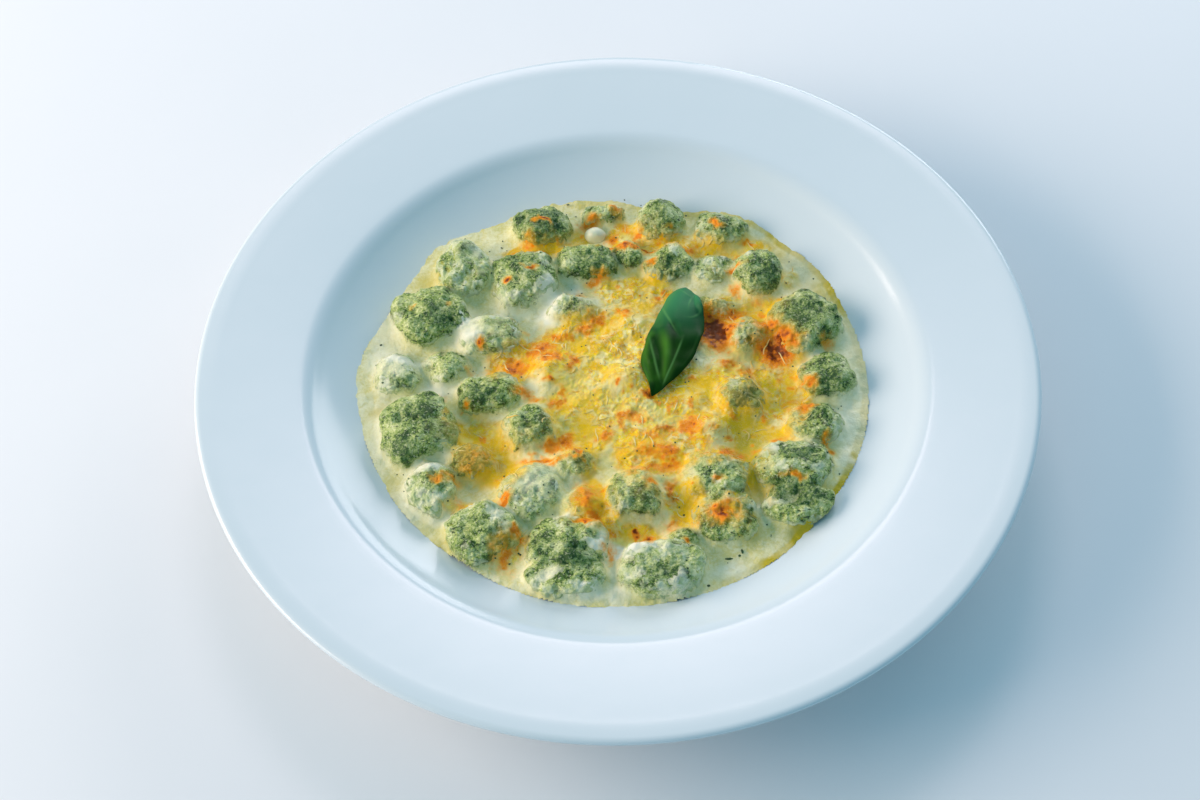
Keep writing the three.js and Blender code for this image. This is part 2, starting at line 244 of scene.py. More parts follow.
# Glazed porcelain: a smooth clear gloss over a slightly cool white body, with the long soft waves
# that the glaze takes as it melts. The ground foot ring shows the bare body, matt and warm.
porcelain, add, place, shader = start_finish("glazed_porcelain")
height = add("SeparateXYZ", {0: place}).node.outputs["Z"]
glazed = remap(add, height, GROUND[0] * MM, GROUND[1] * MM)
cloud = add("TexNoise", {"Vector": place, "Scale": 22.0, "Detail": 3.0})
body = lay_colours(add, "#D3DFE3", (cloud, 1, "#D8E2E6"))
gloss = add("MapRange", {"Value": glazed, "To Min": 0.8, "To Max": 0.18})
wave = add("TexNoise", {"Vector": place, "Scale": 60.0, "Detail": 2.0})
melt = add("Bump", {"Height": wave, "Strength": 0.12, "Distance": 0.4 * MM})
set_inputs(shader, {"Base Color": lay_colours(add, "#D8CFC0", (glazed, 1, body)), "Roughness": gloss,
                    "Normal": melt, "IOR": 1.5})
plate = show_mesh("glazed_plate", mesh_from(plate_shape), porcelain)
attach(plate, "root")
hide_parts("plate")

# ---- How the dish was finished ----------------------------------------------------------------
# The dish went under the grill whole, so sauce, cheese and dumplings share one pattern of browned
# places, molten pools and drapes of cream. Each row: x, y, half-width, half-depth, strength.

BROWNED = [
    (-24, 69, 1.3, 0.8, 1.4), (-28, 68.5, 1.4, 0.8, 0.7), (-37, 60, 1.6, 1.6, 0.7),
    (-31, 62, 1.8, 1.7, 0.75), (-26, 59, 1.6, 1.2, 0.9), (-31, 48, 1.6, 0.9, 1.05), (-40, 44, 1.1, 1, 1.2),
    (-73, 31, 1.1, 0.9, 0.5), (-61, 32, 0.9, 0.7, 0.4), (-37, 28, 1.2, 0.9, 0.5), (-33, 23, 1.2, 1, 0.45),
    (-22, 20, 3.2, 1.7, 0.9), (-8, 74, 2.4, 2, 0.95), (2, 78, 1.8, 1.6, 0.7), (5, 72, 2.2, 2.2, 0.75),
    (10, 67, 1.2, 3, 0.8), (-1, 61, 4, 1.2, 0.75), (4, 60, 3.2, 1.6, 1), (10, 58, 2.6, 1.3, 1.05),
    (13, 59, 1.5, 0.9, 1.3), (1, 67, 1.8, 1.8, 0.85), (15, 52, 1.4, 1, 0.95), (40, 68, 1.3, 1.6, 0.8),
    (30, 60, 3.6, 1.6, 0.75), (22, 60, 3, 1.6, 0.55), (45, 47, 2.2, 1.2, 0.95), (53, 62, 2.6, 0.9, 0.75),
    (16, 37, 1.5, 1.3, 0.85), (21, 39, 1.5, 1.4, 0.75), (-13, 39, 2.2, 1.3, 0.6), (-5, 46, 3.2, 1.6, 0.75),
    (-6, 26, 3.3, 2.6, 1), (4, 29, 2.2, 2.2, 0.75), (-11, 22, 3, 2.2, 0.85), (37, 20, 4.2, 5.4, 1.6),
    (45, 27, 3.6, 2.4, 0.95), (45, 39, 1.5, 1.8, 0.65), (53, 33, 2.2, 1.3, 0.55), (70, 35, 2.2, 0.9, 0.85),
    (56, 19, 3, 2.6, 1.1), (58.5, 10, 4.8, 4.6, 1.32), (63, 10, 1.5, 2.6, 0.8), (77, 11, 1.6, 1.6, 0.7),
    (42, 5, 2.6, 1.7, 0.85), (48, 0, 2.6, 2.6, 0.7), (-49, 16, 1.2, 1.3, 1.25), (-64, -5, 1.8, 1.2, 0.5),
    (-53, 6, 1.1, 0.9, 0.5), (-37, 7, 5.8, 2.5, 1), (-28, 14, 5, 2.6, 0.9), (-24, 10, 3.2, 2.6, 1),
    (-34, -6, 2.2, 2.1, 0.8), (-24, -1, 1.8, 1.3, 0.9), (-54, -12, 1.2, 1, 0.9), (-60, -15, 0.9, 1.4, 0.4),
    (-49, -33, 4, 3.4, 0.5), (-51, -37, 4, 3, 0.45), (-23, -29, 3, 2.1, 0.9), (-18, -28, 2.2, 3, 1),
    (-29, -35, 5, 1.3, 0.85), (-16, 8, 1.8, 3.4, 0.8), (-30, -8, 2.5, 0.9, 0.75), (-22, -10, 2.2, 1.3, 0.75),
    (1, -5, 0.8, 0.9, 0.9), (11, -9, 2.2, 1.3, 1), (3, -17, 3.6, 2, 0.85), (8, -19, 2.9, 1.3, 0.75),
    (-6, -26, 2.2, 2.6, 0.85), (-3, -24, 2.5, 0.9, 0.65), (-15, -33, 1.2, 1.3, 1.1), (17, -24, 3, 1.7, 0.85),
    (12, -26, 3.6, 2.1, 0.65), (26, -23, 3.2, 3.8, 0.95), (11, -33, 6.5, 3.4, 0.72),
    (17, -34, 3.2, 2.1, 0.95), (26, -2, 1.8, 1.7, 0.7), (34, -26, 2.5, 1.7, 0.6), (30, -35, 3, 1.3, 0.55),
    (69, -7, 2.2, 1.7, 0.85), (63, -13, 3.2, 1.2, 0.6), (66, -18, 3.0, 1.5, 0.8), (56, -29, 1.8, 0.9, 0.75),
    (39, -35, 3.6, 2.1, 0.85), (73, -32, 1.1, 2.6, 0.75), (11, -40, 6.5, 1.6, 0.72),
    (18, -39, 2.9, 2.6, 0.85), (-60, -42, 3, 1.7, 0.65), (-64, -45, 1.5, 1.3, 0.7),
    (-55, -51, 2.2, 1.7, 0.55), (-41, -51, 2.2, 1.3, 0.95), (-22, -37, 3, 1.3, 0.75),
    (-12, -52, 2.9, 4.2, 0.92), (-10, -60, 2.5, 2.6, 0.95), (-14, -63, 2.2, 0.7, 1.1),
    (-36, -67, 1.5, 2.6, 0.95), (-41, -73, 2.2, 3.8, 0.8), (-5, -74, 1.8, 2.6, 0.65),
    (-4, -66, 2.2, 2.6, 0.65), (3, -44, 2.2, 1.7, 0.55), (10, -47, 1.5, 2.6, 0.75), (17, -50, 1.5, 3, 0.9),
    (4, -65, 0.8, 0.7, 1.2), (8, -69, 2.2, 2.0, 1.25), (21, -71, 0.8, 1.2, 0.95), (33, -48, 1.6, 1.3, 0.8),
    (34, -60, 3.4, 2.8, 1.15), (60, -47, 3.2, 0.8, 0.7), (17, -62, 2.2, 3, 0.6),
]
CREAMED = [
    (-53, 32, 4.3, 2.6, 0.5), (-55, 25, 5, 3.4, 0.9), (-43, 29, 7, 2.1, 0.7), (-23, 38, 4.6, 5, 1.2),
    (-25, 30, 3.6, 6, 1), (-48, 58, 5, 3.4, 0.4), (-78, 10, 7.9, 2.8, 0.9), (-84, -2, 2.9, 2.6, 0.6),
    (-54, 19, 5, 3.8, 0.9), (-65, -2, 5.8, 3, 0.8), (-54, -25, 2.2, 2.1, 0.7), (-62, -31, 5, 2.6, 0.8),
    (-68, -37, 5, 3, 0.9), (-61, -52, 4.3, 2.6, 0.6), (-51, -52, 7.9, 2.1, 0.8), (-43, -57, 3.2, 4.3, 0.7),
    (-63, -57, 5, 2.6, 0.6), (-14, -88, 5.8, 3.2, 0.9), (-27, -84, 5, 3.2, 0.6), (-20, -60, 5, 2.1, 0.6),
    (-1, -72, 9, 4, 1.6), (9, -73, 4.3, 2.1, 0.9), (-4, -89, 3.6, 4, 0.7), (17, -88, 4.3, 3.2, 0.6),
    (54, -33, 4.6, 3.4, 0.8), (79, -36, 2.9, 4.3, 0.7), (48, -57, 7.9, 2.1, 0.6), (37, -80, 5.8, 3.4, 0.5),
    (65, 3, 3.6, 2.6, 0.7), (71, 7, 4.3, 2.1, 0.5), (45, 2, 2.9, 1.7, 0.5), (-4, -79, 3.2, 3.8, 0.5),
    (-10, 35, 3.6, 2.6, 0.5), (7, 66, 2.6, 3, 0.9), (-14, 41, 3.6, 3.4, 0.7), (26, -13, 2.2, 2.1, 0.3),
    (-85, 22, 7, 16, 0.45), (-84, -20, 6, 14, 0.45), (83, -20, 5, 12, 0.6), (84, 4, 4, 9, 0.4),
    (-74, -50, 7, 10, 0.45), (-40, 36, 6, 4, 0.4), (88, -8, 5, 16, 0.5), (86, 14, 5, 10, 0.5),
    (70, 46, 7, 14, 0.4), (-31, -46, 7, 7, 0.35), (-80, 6, 6, 5, 0.4), (84, -16, 4, 8, 0.5),
    (-15, -3, 7, 6, 0.55), (-42, -20, 4, 4, 0.3), (78, -25, 4, 5, 0.6), (6, -16, 9, 4.5, 0.75),
    (18, -21, 8, 3.5, 0.6), (-2, -8, 5, 5, 0.3), (2, 3, 6, 5, 0.3), (-20, -20, 4, 5, 0.3),
]
MOLTEN = [
    (5, -50, 8, 7, 0.35), (45, -21, 9, 4, 0.9), (36, -19, 4, 6, 0.6), (-52, -24, 8, 7, 1),
    (-47, -40, 8, 4, 1), (-40, -32, 4, 6, 0.8), (-12, -22, 4, 13, 1), (-22, 2, 8, 5, 0.6),
    (-14, 14, 10, 6, 0.7), (8, 32, 8, 6, 0.75), (-20, -6, 5, 8, 0.75), (30, -8, 7, 7, 0.8),
    (30, -18, 6, 5, 0.6), (12, -33, 9, 4, 0.9), (20, -37, 6, 4, 0.8), (62, -8, 4, 9, 0.9),
    (56, -26, 7, 4, 1), (-10, -50, 3, 13, 0.85), (52, 28, 8, 6, 0.8), (-33, 61, 5, 3, 0.6),
    (31, 60, 6, 3, 0.6), (55, 62, 5, 2.5, 0.7), (-12, 66, 3, 4, 0.6), (6, -65, 7, 3, 0.7),
    (43, 8, 5, 4, 0.5), (22, -56, 4, 8, 0.6), (-16, -64, 4, 3, 0.5), (46, -30, 5, 4, 0.7),
    (45, -32, 4, 8, 1), (45, -46, 3, 8, 0.7), (-42, -21, 5, 4, 0.4), (33, -8, 4, 9, 0.7),
    (54, -8, 4, 8, 0.7), (42, 59, 7, 3, 0.6), (24, 62, 8, 3, 0.4), (60, 31, 5, 4, 0.4),
    (49, -50, 4, 5, 0.45), (-22, 62, 6, 3, 0.5), (-34, -26, 5, 3, 0.7), (-8, 24, 7, 4, 0.5),
    (41, -64, 4, 5, 0.5), (-2, -2, 4, 8, 0.5), (14, 46, 6, 4, 0.6),
]
CHEESED = [
    (36, -24, 10, 7, 0.9), (45, -20, 10, 8, 0.8), (-8, 12, 24, 20, 1), (-30, 10, 17, 9, 1),
    (8, 38, 16, 12, 0.9), (-12, -18, 14, 22, 1), (18, -14, 24, 22, 1), (14, -32, 22, 12, 0.9),
    (40, -8, 14, 16, 0.8), (60, 4, 11, 12, 0.7), (46, 26, 13, 13, 0.7), (-50, -27, 13, 13, 0.95),
    (-40, -40, 9, 7, 0.7), (-9, -56, 9, 12, 0.9), (4, -66, 12, 5, 0.7), (22, -54, 8, 12, 0.75),
    (36, -36, 12, 8, 0.6), (40, -56, 7, 6, 0.5), (61, -12, 9, 10, 0.75), (54, -26, 8, 6, 0.75),
    (-38, -69, 8, 8, 0.6), (-33, 61, 9, 4, 0.7), (-12, 68, 5, 7, 0.5), (8, 68, 10, 8, 0.8),
    (30, 60, 12, 5, 0.7), (54, 60, 7, 4, 0.6), (8, 50, 10, 6, 0.5), (40, 47, 6, 6, 0.45),
    (-40, 2, 10, 6, 0.6), (-52, -52, 12, 5, 0.4), (22, 62, 20, 6, 0.65), (-20, 62, 14, 5, 0.5),
    (45, -32, 6, 9, 0.8), (45, -46, 5, 8, 0.6), (54, -4, 8, 12, 0.8), (36, -8, 10, 12, 0.9),
    (60, 16, 8, 9, 0.6), (66, 44, 6, 7, 0.4), (60, 30, 8, 8, 0.55), (62, -20, 8, 12, 0.55),
    (50, -52, 6, 8, 0.45), (44, 58, 6, 8, 0.45),
]
# patches of the dumplings that no cream has reached, where the leaf lies thick and dark; rows in hollows and
# low on a dumpling paint shade there
LEAFY_AND_SHADED = [
    (-26, 71, 10, 7, 1.2), (2, 76, 6, 4, 0.5), (18, 70, 7, 7, 0.6), (43, 66, 5, 5, 0.8), (-7, 51, 8, 5, 1),
    (3, 54, 5, 3, 0.8), (22, 48, 8, 5, 0.9), (58, 41, 8, 6, 0.9), (-33, 43, 7, 5, 0.6), (-62, 27, 6, 5, 1),
    (-45, 13, 6, 4, 0.6), (-14, 32, 5, 3, 0.5), (69, 22, 11, 9, 0.8), (77, 10, 5, 5, 0.8), (75, -9, 7, 5, 1),
    (69, -21, 5, 4, 0.6), (72, -32, 4, 4, 0.7), (45, -14, 6, 5, 0.9), (-70, -17, 7, 7, 0.8),
    (-75, -31, 5, 4, 1), (-63, -24, 5, 5, 0.7), (-49, -8, 8, 4, 1), (-52, -35, 6, 5, 1),
    (-64, -45, 5, 4, 0.9), (-29, -22, 5, 5, 0.6), (-41, -71, 6, 6, 0.9), (-51, -63, 5, 5, 0.5),
    (-16, -77, 9, 5, 0.8), (-27, -72, 7, 5, 0.6), (10, -53, 6, 6, 0.6), (6, -60, 5, 4, 0.8),
    (36, -41, 5, 4, 0.6), (41, -60, 7, 5, 0.9), (30, -65, 5, 4, 0.8), (61, -54, 8, 5, 1.7),
    (64, -39, 5, 4, 1), (57, -37, 5, 4, 0.7), (-33, 50, 8, 5, 0.5), (75, -3, 8, 7, 0.6),
    (14, -84, 7, 4, 0.9), (-78, 0, 5, 4, 0.4), (-13, -39, 4, 3, 0.7), (50, 16, 4, 3, 0.5),
]
OILED = [
    (60, -68, 4, 6, 1), (50, -79, 5, 3, 0.9), (-85, -11, 4, 2.5, 0.9), (60, 54, 12, 9, 0.7),
    (74, 38, 8, 12, 0.75), (46, -33, 6, 9, 1.3), (-50, -37, 5, 3, 0.5), (0, 87, 30, 5, 0.45),
    (32, 82, 16, 6, 0.5), (-60, -66, 8, 4, 0.35), (-30, -88, 10, 3, 0.3), (44, -66, 4, 5, 0.6),
    (-80, -44, 2.5, 8, 0.35), (-66, 48, 7, 7, 0.5), (72, -54, 5, 6, 0.8), (-12, 66, 4, 5, 0.5),
]
BROWN_SPREAD = 1.6  # the blush round each browned core
GRAIN_CELLS, GRAIN_START = 32, 91.7  # size of the table of random values, and a place in it off the origin
# most that a point can have of molten gold, browning, cream, oil and bare leaf with its painted shade
MOST = (1, 1.6, 1.2, 1, 1)
RAY_START = 0.06  # metres, above all of the food


def grain(points, size, seed):
    """Smooth random relief from -1 to 1 with bumps of the given size, over an array of points."""
    values = np.random.RandomState(seed).uniform(-1, 1, (GRAIN_CELLS,) * 3)
    steps = points / size + GRAIN_START
    low = np.floor(steps).astype(int)
    share = steps - low
    share = share * share * (3 - 2 * share)
    total = np.zeros(len(points))
    for corner in np.ndindex(2, 2, 2):
        weight = np.prod(np.where(np.array(corner) == 1, share, 1 - share), axis=1)
        total += weight * values[tuple(((low + corner) % GRAIN_CELLS).T)]
    return total


def ease(value, low, high):
    """0 below low, 1 above high, and a smooth change between them."""
    share = np.clip((value - low) / (high - low), 0, 1)
    return share * share * (3 - 2 * share)


def patches(flat, rows, spread=1.0, sharpness=1.0):
    """The strongest patch of a list of rows at each flat point."""
    strongest = np.zeros(len(flat))
    for x, y, across, deep, strength in rows:
        away = ((flat[:, 0] - x) / (across * spread)) ** 2 + ((flat[:, 1] - y) / (deep * spread)) ** 2
        strongest = np.maximum(strongest, strength * np.exp(-away ** sharpness))
    return strongest


def grilled(points):
    """Amounts of cheese, molten gold, browning, cream, oil and bare leaf with painted shade over an array of
    points.
    """
    flat = points * (1, 1, 0)
    # the patches' edges wander by a few millimetres
    ragged = flat.copy()
    for axis, seed in ((0, 5), (1, 7)):
        ragged[:, axis] += 2.0 * grain(flat, 3.6, seed) + 0.9 * grain(flat, 1.2, seed + 1)
    fine = grain(flat, 1.2, 9)
    broad = grain(flat, 6.0, 10)
    cheese = patches(flat, CHEESED, sharpness=1.6) + 0.22 * broad + 0.15 * grain(flat, 2.5, 11)
    cheese = ease(cheese, 0.22, 0.62)
    gilded = ease(grain(flat, 5.0, 12) + 0.35 * fine, 0.05, 0.6)
    gold = patches(ragged, MOLTEN, spread=1.1) + 0.6 * cheese * gilded
    brown = patches(ragged, BROWNED, BROWN_SPREAD) * (0.9 + 0.3 * fine)
    blush = cheese * ease(grain(flat, 4.2, 13) + 0.6 * grain(flat, 1.6, 14), 0.3, 1.0)
    brown = np.maximum(0.9 * brown, 0.55 * blush)
    cream = patches(ragged, CREAMED, spread=1.15, sharpness=1.4) * (1 + 0.15 * broad)
    oil = patches(flat, OILED, spread=1.1, sharpness=1.2) * (0.85 + 0.4 * grain(flat, 3.0, 15))
    leafy_and_shaded = patches(ragged, LEAFY_AND_SHADED, sharpness=1.3) * (1 + 0.3 * fine)
    return [cheese] + [np.clip(layer, 0, most) for layer, most in zip((gold, brown, cream, oil, leafy_and_shaded), MOST)]


def paint(mesh, name, *layers):
    """Stores up to four layers on a mesh's points as one colour attribute."""
    values = np.zeros((len(mesh.vertices), 4), np.float32)
    for channel, layer in enumerate(layers):
        values[:, channel] = layer
    attribute = mesh.attributes.new(name, "FLOAT_COLOR", "POINT")
    attribute.data.foreach_set("color", values.ravel())


def painted(add, name):
    """The four layers that paint stored, as outputs to link."""
    layers = add("Attribute", attribute_name=name)
    split = add("SeparateColor", {"Color": layers})
    return [*split.node.outputs, layers.node.outputs["Alpha"]]


def points_of(mesh, kind="co"):
    """A mesh's points as an array in millimetres, or their normals."""
    flat = np.zeros(len(mesh.vertices) * 3, np.float32)
    mesh.vertices.foreach_get(kind, flat)
    return flat.reshape(-1, 3).astype(float) / (MM if kind == "co" else 1)


def move_points(mesh, points):
    """Puts a mesh's points at an array of places in millimetres."""
    mesh.vertices.foreach_set("co", (points * MM).astype(np.float32).ravel())
    mesh.update()


def surface_of(mesh):
    """A mesh's surface, to find heights on."""
    shape = bmesh.new()
    shape.from_mesh(mesh)
    surface = BVHTree.FromBMesh(shape)
    shape.free()
    return surface


def height_on(surface, x, y, otherwise):
    """The height of a surface at a flat point, or another height where it has none."""
    hit = surface.ray_cast(Vector((x * MM, y * MM, RAY_START)), Vector((0, 0, -1)))
    return otherwise if hit[0] is None else hit[0].z / MM


# ---- Gnocchi ----------------------------------------------------------------------------------
# Spinach and potato dumplings, cut from a rope of dough into rough cubes and boiled. The dough is
# pale green with chopped leaf all through it, and its skin is grainy, soft and a little pitted.

# x and y of the middle, width, depth, height of the top, turn in degrees, squareness (2 is round),
# and how far cream and cheese have drawn over it (0 bare, 1 coated)
GNOCCHI = [
    (-26, 72, 22, 17, 30, 15, 2.8, 0.0), (-2, 78, 17, 10, 26.5, 5, 2.4, 0.35),
    (19, 73, 19, 19, 29, 40, 2.2, 0.35), (41, 68, 20, 14, 27.5, -20, 2.4, 0.55),
    (-56, 52, 20, 23, 29.5, 35, 2.8, 0.65), (-33, 47, 24, 25, 29.5, 10, 3.0, 0.35),
    (-9, 54, 24, 15, 28, 4, 3.2, 0.15), (21, 52, 19, 16, 27.5, 20, 2.6, 0.40),
    (38, 49, 16, 13, 26, -10, 2.4, 0.72), (55, 46, 18, 19, 29.5, 30, 2.8, 0.25),
    (-68, 31, 26, 22, 30.5, 25, 3.8, 0.10), (-15, 32, 18, 13, 27, -8, 2.6, 0.50),
    (-46, 21, 24, 18, 28, 12, 2.6, 0.70), (69, 21, 26, 25, 30, 40, 3.4, 0.22),
    (36, 31, 14, 11, 27, 0, 2.4, 0.40), (48.5, 17, 16, 15, 27.5, 20, 2.4, 0.48),
    (-79, 5, 17, 18, 27, 10, 2.6, 0.58), (-62, 8, 17, 14, 26.5, 30, 2.4, 0.50),
    (-46, -5, 22, 18, 28, 8, 2.8, 0.30), (75, -3, 19, 20, 28.5, 15, 2.8, 0.15),
    (-71, -20, 26, 27, 30.5, 20, 4.2, 0.05), (-32, -21, 18, 18, 28.5, 25, 3.0, 0.28),
    (44, -11, 17, 15, 28, 12, 2.6, 0.30), (69, -23, 20, 17, 28, -15, 2.8, 0.40),
    (-52, -34, 16, 15, 27, 30, 2.8, 0.25), (-66, -45, 17, 21, 28, -30, 2.8, 0.45),
    (-16.5, -38, 17, 13, 27.5, 5, 2.4, 0.30), (-31, -48, 22, 22, 29, 35, 3.0, 0.60),
    (33, -45, 24, 21, 28.5, -12, 2.8, 0.45), (36, -61, 23, 19, 27.5, 15, 2.6, 0.50),
    (60, -41, 27, 22, 29, -18, 2.6, 0.52), (60, -55, 24, 18, 27.5, -35, 2.6, 0.35),
    (-48, -64, 24, 22, 30, 30, 2.8, 0.38), (4, -51, 21, 20, 29.5, 20, 2.8, 0.48),
    (-19, -70, 28, 21, 29, -6, 3.2, 0.32), (-19, -81.5, 27, 14, 27, 8, 2.6, 0.35),
    (12, -80, 30, 20, 29, -8, 2.8, 0.52), (20, -68, 13, 8, 25.8, 10, 2.2, 0.15),
    (-14, -54, 15, 13, 27, 40, 2.4, 0.85), (6.5, 57, 12, 13, 27.5, 20, 2.4, 0.20),
]
# pinched crests and hollows: x, y, spread, height
CRESTS = [
    (18.8, 75, 4.5, 2.2), (-57.5, 58, 5, 2.5), (-52.5, 55.5, 3, -2.2), (59, -53, 4.5, -3.6),
    (-40, 52, 4, 0.8), (-28, 42, 4, 0.9), (66, 26, 4, 0.9), (-20, -46, 5, 1.2), (-10, -65, 5, 1.0),
    (-27, -66, 5, -0.8), (59, -47.5, 6, 1.8), (35, -53, 6, 1.6), (-19, -77, 7, 1.4),
]
SAUCE_LEVEL = 19.8
FLOOR_GAP, WALL_GAP = 1.3, 0.8  # least room between a dumpling and the plate
TALLEST = 20
LEAN, TAPER = 0.12, 0.07  # how far a block is skewed, and drawn in towards its top
# relief of the skin: height, size and seed of its bumps; the largest are different on each one
LUMPS, LUMP_SEED = (1.15, 7.0), 100
GRAINS = [(0.75, 3.4, 150), (0.42, 1.7, 151), (0.22, 0.95, 152)]

wall_line = sorted((point.x, point.z) for point in wall_curve)
wall_radii, wall_heights = np.array([r for r, z in wall_line]), np.array([z for r, z in wall_line])


def spinach_crumb(add, place, leafy_and_shaded):
    """The dough's colour and its flecks: a pale crumb with leaf flecks, pale crumbs that are partly painted
    glints, and threads.
    """
    mass = noise(add, place, 5, 2.0)
    fine = noise(add, place, 0.8, 3.0, roughness=0.6)
    flesh = add("ValToRGB", {0: add("Mix", {0: 0.5, 2: mass, 3: fine})}, stops=[
        (0.38, "#76904A"), (0.46, "#9CB060"), (0.54, "#BAC67C"), (0.64, "#E2E6AA")])
    fleck = noise(add, place, 1.0, 4.0, roughness=0.6, distortion=0.8)
    dim = combine(add, "MULTIPLY_ADD", mass, 0.9, fleck)
    # the bare-leaf patches are darker green, and darker still as painted shade where they lie in hollows
    dim = combine(add, "MULTIPLY_ADD", leafy_and_shaded, -0.175, dim)
    dark = add("ValToRGB", {0: dim}, stops=[
        (0.72, (0.10, 0.17, 0.10, 1)), (0.79, (0.34, 0.45, 0.28, 1)), (0.865, (0.68, 0.77, 0.56, 1)),
        (0.94, (1.0, 1.0, 1.0, 1))])
    chopped = add("Mix", {0: 1.0, 6: flesh, 7: dark}, data_type="RGBA", blend_type="MULTIPLY")
    # pale specks: white crumbs, and painted glints
    crumbs = noise(add, place, 0.75, 2.0, distortion=0.6)
    pale_crumbs_and_glints = remap(add, crumbs, 0.56, 0.66, top=0.55)
    threads = []
    for turn, size in (((0.5, 0.3, 0.9), 1.1), ((0.2, 0.6, 2.3), 0.9)):
        drawn = add("Mapping", {"Vector": place, "Rotation": turn, "Scale": (0.3, 1, 1)})
        wavy = noise(add, drawn, size, 3.0, distortion=1.2)
        threads.append(remap(add, wavy, 0.39, 0.33, top=0.85))
    leaf = combine(add, "MAXIMUM", *threads)
    crumb = lay_colours(add, chopped, (pale_crumbs_and_glints, 1, "#EAEDC0"), (leaf, 1, "#1B3A20"), (leafy_and_shaded, 0.5, "#44663A"))
    return crumb, fleck


def toasting(add, brown, under):
    """Lays the grill's browning over a colour: gold, orange, red brown and a dark core."""
    toast = add("ValToRGB", {0: brown}, stops=[
        (0.20, "#F8BC28"), (0.50, "#F59A0C"), (0.74, "#E88008"), (0.88, "#B05208"), (1.0, "#6E2A06")])
    amount = remap(add, brown, 0.08, 0.58, top=0.98)
    return lay_colours(add, under, (amount, 1, toast))


# Boiled spinach dough: many fine dark leaf flecks and threads in a pale green crumb, with a soft,
# moist skin. Cream, gold and browning come from the grill's pattern.
dough, add, place, shader = start_finish("boiled_spinach_dough")
coat, gold, brown, wet = painted(add, "grill")
green, crumb = spinach_crumb(add, place, painted(add, "bare")[0])
torn = noise(add, place, 1.8, 4.0, roughness=0.65, distortion=1.0)
ragged = combine(add, "MULTIPLY_ADD", torn, 0.9, coat)
film = remap(add, ragged, 0.82, 1.15, top=0.88)
milk = noise(add, place, 3.5, 3.0)
milky = remap(add, milk, 0.4, 0.6)
drape = lay_colours(add, "#C2CE96", (milky, 1, "#E6E8C6"))
veiled = lay_colours(add, green, (film, 1, drape), (wet, 0.45, "#8E9140"), (gold, 0.6, "#CDB04A"))
rough = add("MapRange", {"Value": coat, "To Min": 0.34, "To Max": 0.22})
grit = noise(add, place, 0.7, 3.0)
pits = combine(add, "ADD", grit, crumb)
bump = add("Bump", {"Height": pits, "Strength": 0.85, "Distance": 0.5 * MM})
set_inputs(shader, {"Base Color": toasting(add, brown, veiled), "Roughness": rough, "Normal": bump,
                    "IOR": 1.4, "Specular IOR Level": 0.3})

hills = []
for number, (x, y, width, depth, top, turn, squareness, coated) in enumerate(GNOCCHI, start=1):
    lump_shape = bmesh.new()
    bmesh.ops.create_icosphere(lump_shape, subdivisions=6, radius=MM)
    lump = mesh_from(lump_shape)
    floor = np.interp(math.hypot(x, y), wall_radii, wall_heights) + FLOOR_GAP
    half = np.array((width, depth, min(TALLEST, top - floor, width + 3))) / 2
    # a ball squared to a block, skewed, turned and set in its place
    ball = points_of(lump)
    block = ball / (np.abs(ball) ** squareness).sum(1, keepdims=True) ** (1 / squareness)
    lean = np.random.RandomState(number).uniform(-LEAN, LEAN, 4)
    block[:, 0] *= 1 + lean[0] * ball[:, 1] - TAPER * ball[:, 2]
    block[:, 1] *= 1 + lean[1] * ball[:, 0] - TAPER * ball[:, 2]
    block[:, 2] += (lean[2] * ball[:, 0] + lean[3] * ball[:, 1]) * (ball[:, 2] > 0) * ball[:, 2]
    angle = math.radians(turn)
    turned = block.copy()
    turned[:, 0] = block[:, 0] * math.cos(angle) - block[:, 1] * math.sin(angle)
    turned[:, 1] = block[:, 0] * math.sin(angle) + block[:, 1] * math.cos(angle)
    points = turned * half + (x, y, top - half[2])
    move_points(lump, points)
    outward = points_of(lump, "normal")
    relief = LUMPS[0] * grain(points, LUMPS[1], LUMP_SEED + number)
    relief = sum((height * grain(points, size, seed) for height, size, seed in GRAINS), start=relief)
    # pits, and fine creases where the dough has cracked
    relief -= (1.1 * ease(grain(points, 3.0, 153), 0.36, 0.8)
               + 0.3 * (1 - np.abs(grain(points, 1.5, 154)) * 3).clip(0, 1))
    # only what can be seen is rough
    above = ease(points[:, 2], SAUCE_LEVEL - 5, SAUCE_LEVEL)
    points += outward * (relief * above)[:, None]
    for crest_x, crest_y, spread, height in CRESTS:
        away = ((points[:, 0] - crest_x) ** 2 + (points[:, 1] - crest_y) ** 2) / spread ** 2
        points[:, 2] += height * np.exp(-away) * above
    wall = np.interp(np.hypot(points[:, 0], points[:, 1]), wall_radii, wall_heights)
    points[:, 2] = np.maximum(points[:, 2], wall + WALL_GAP)
    move_points(lump, points)

    cheese, molten, browned, cream, _, leafy_and_shaded = grilled(points)
    # cream clings to the low sides, and the grill reaches the tops
    low_side = ease(SAUCE_LEVEL + 6 - points[:, 2], 0, 5)
    facing = ease(outward[:, 2], 0.0, 0.85)
    coat_here = (0.06 + coated + 0.45 * grain(points, 4.5, 160) + 0.25 * grain(points, 1.6, 161)
                 + 0.45 * low_side + 0.7 * cream + 0.2 * cheese - 0.15 * facing - 0.6 * leafy_and_shaded)
    gilded = np.clip(0.8 * molten + 0.3 * cheese, 0, 1) * (1 - 0.6 * cream)
    paint(lump, "grill", np.clip(coat_here, 0, 1), gilded, browned * (0.35 + 0.65 * facing),
          low_side * (1 - facing))
    # the bare-leaf patches, partly painted shade
    paint(lump, "bare", leafy_and_shaded)
    node = f"gnocco_{number:02d}"
    piece = show_mesh(f"dough_{number:02d}", lump, dough)
    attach(piece, "root")
    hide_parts(node)
    hills.append((surface_of(lump), points.min(0), points.max(0), coated))

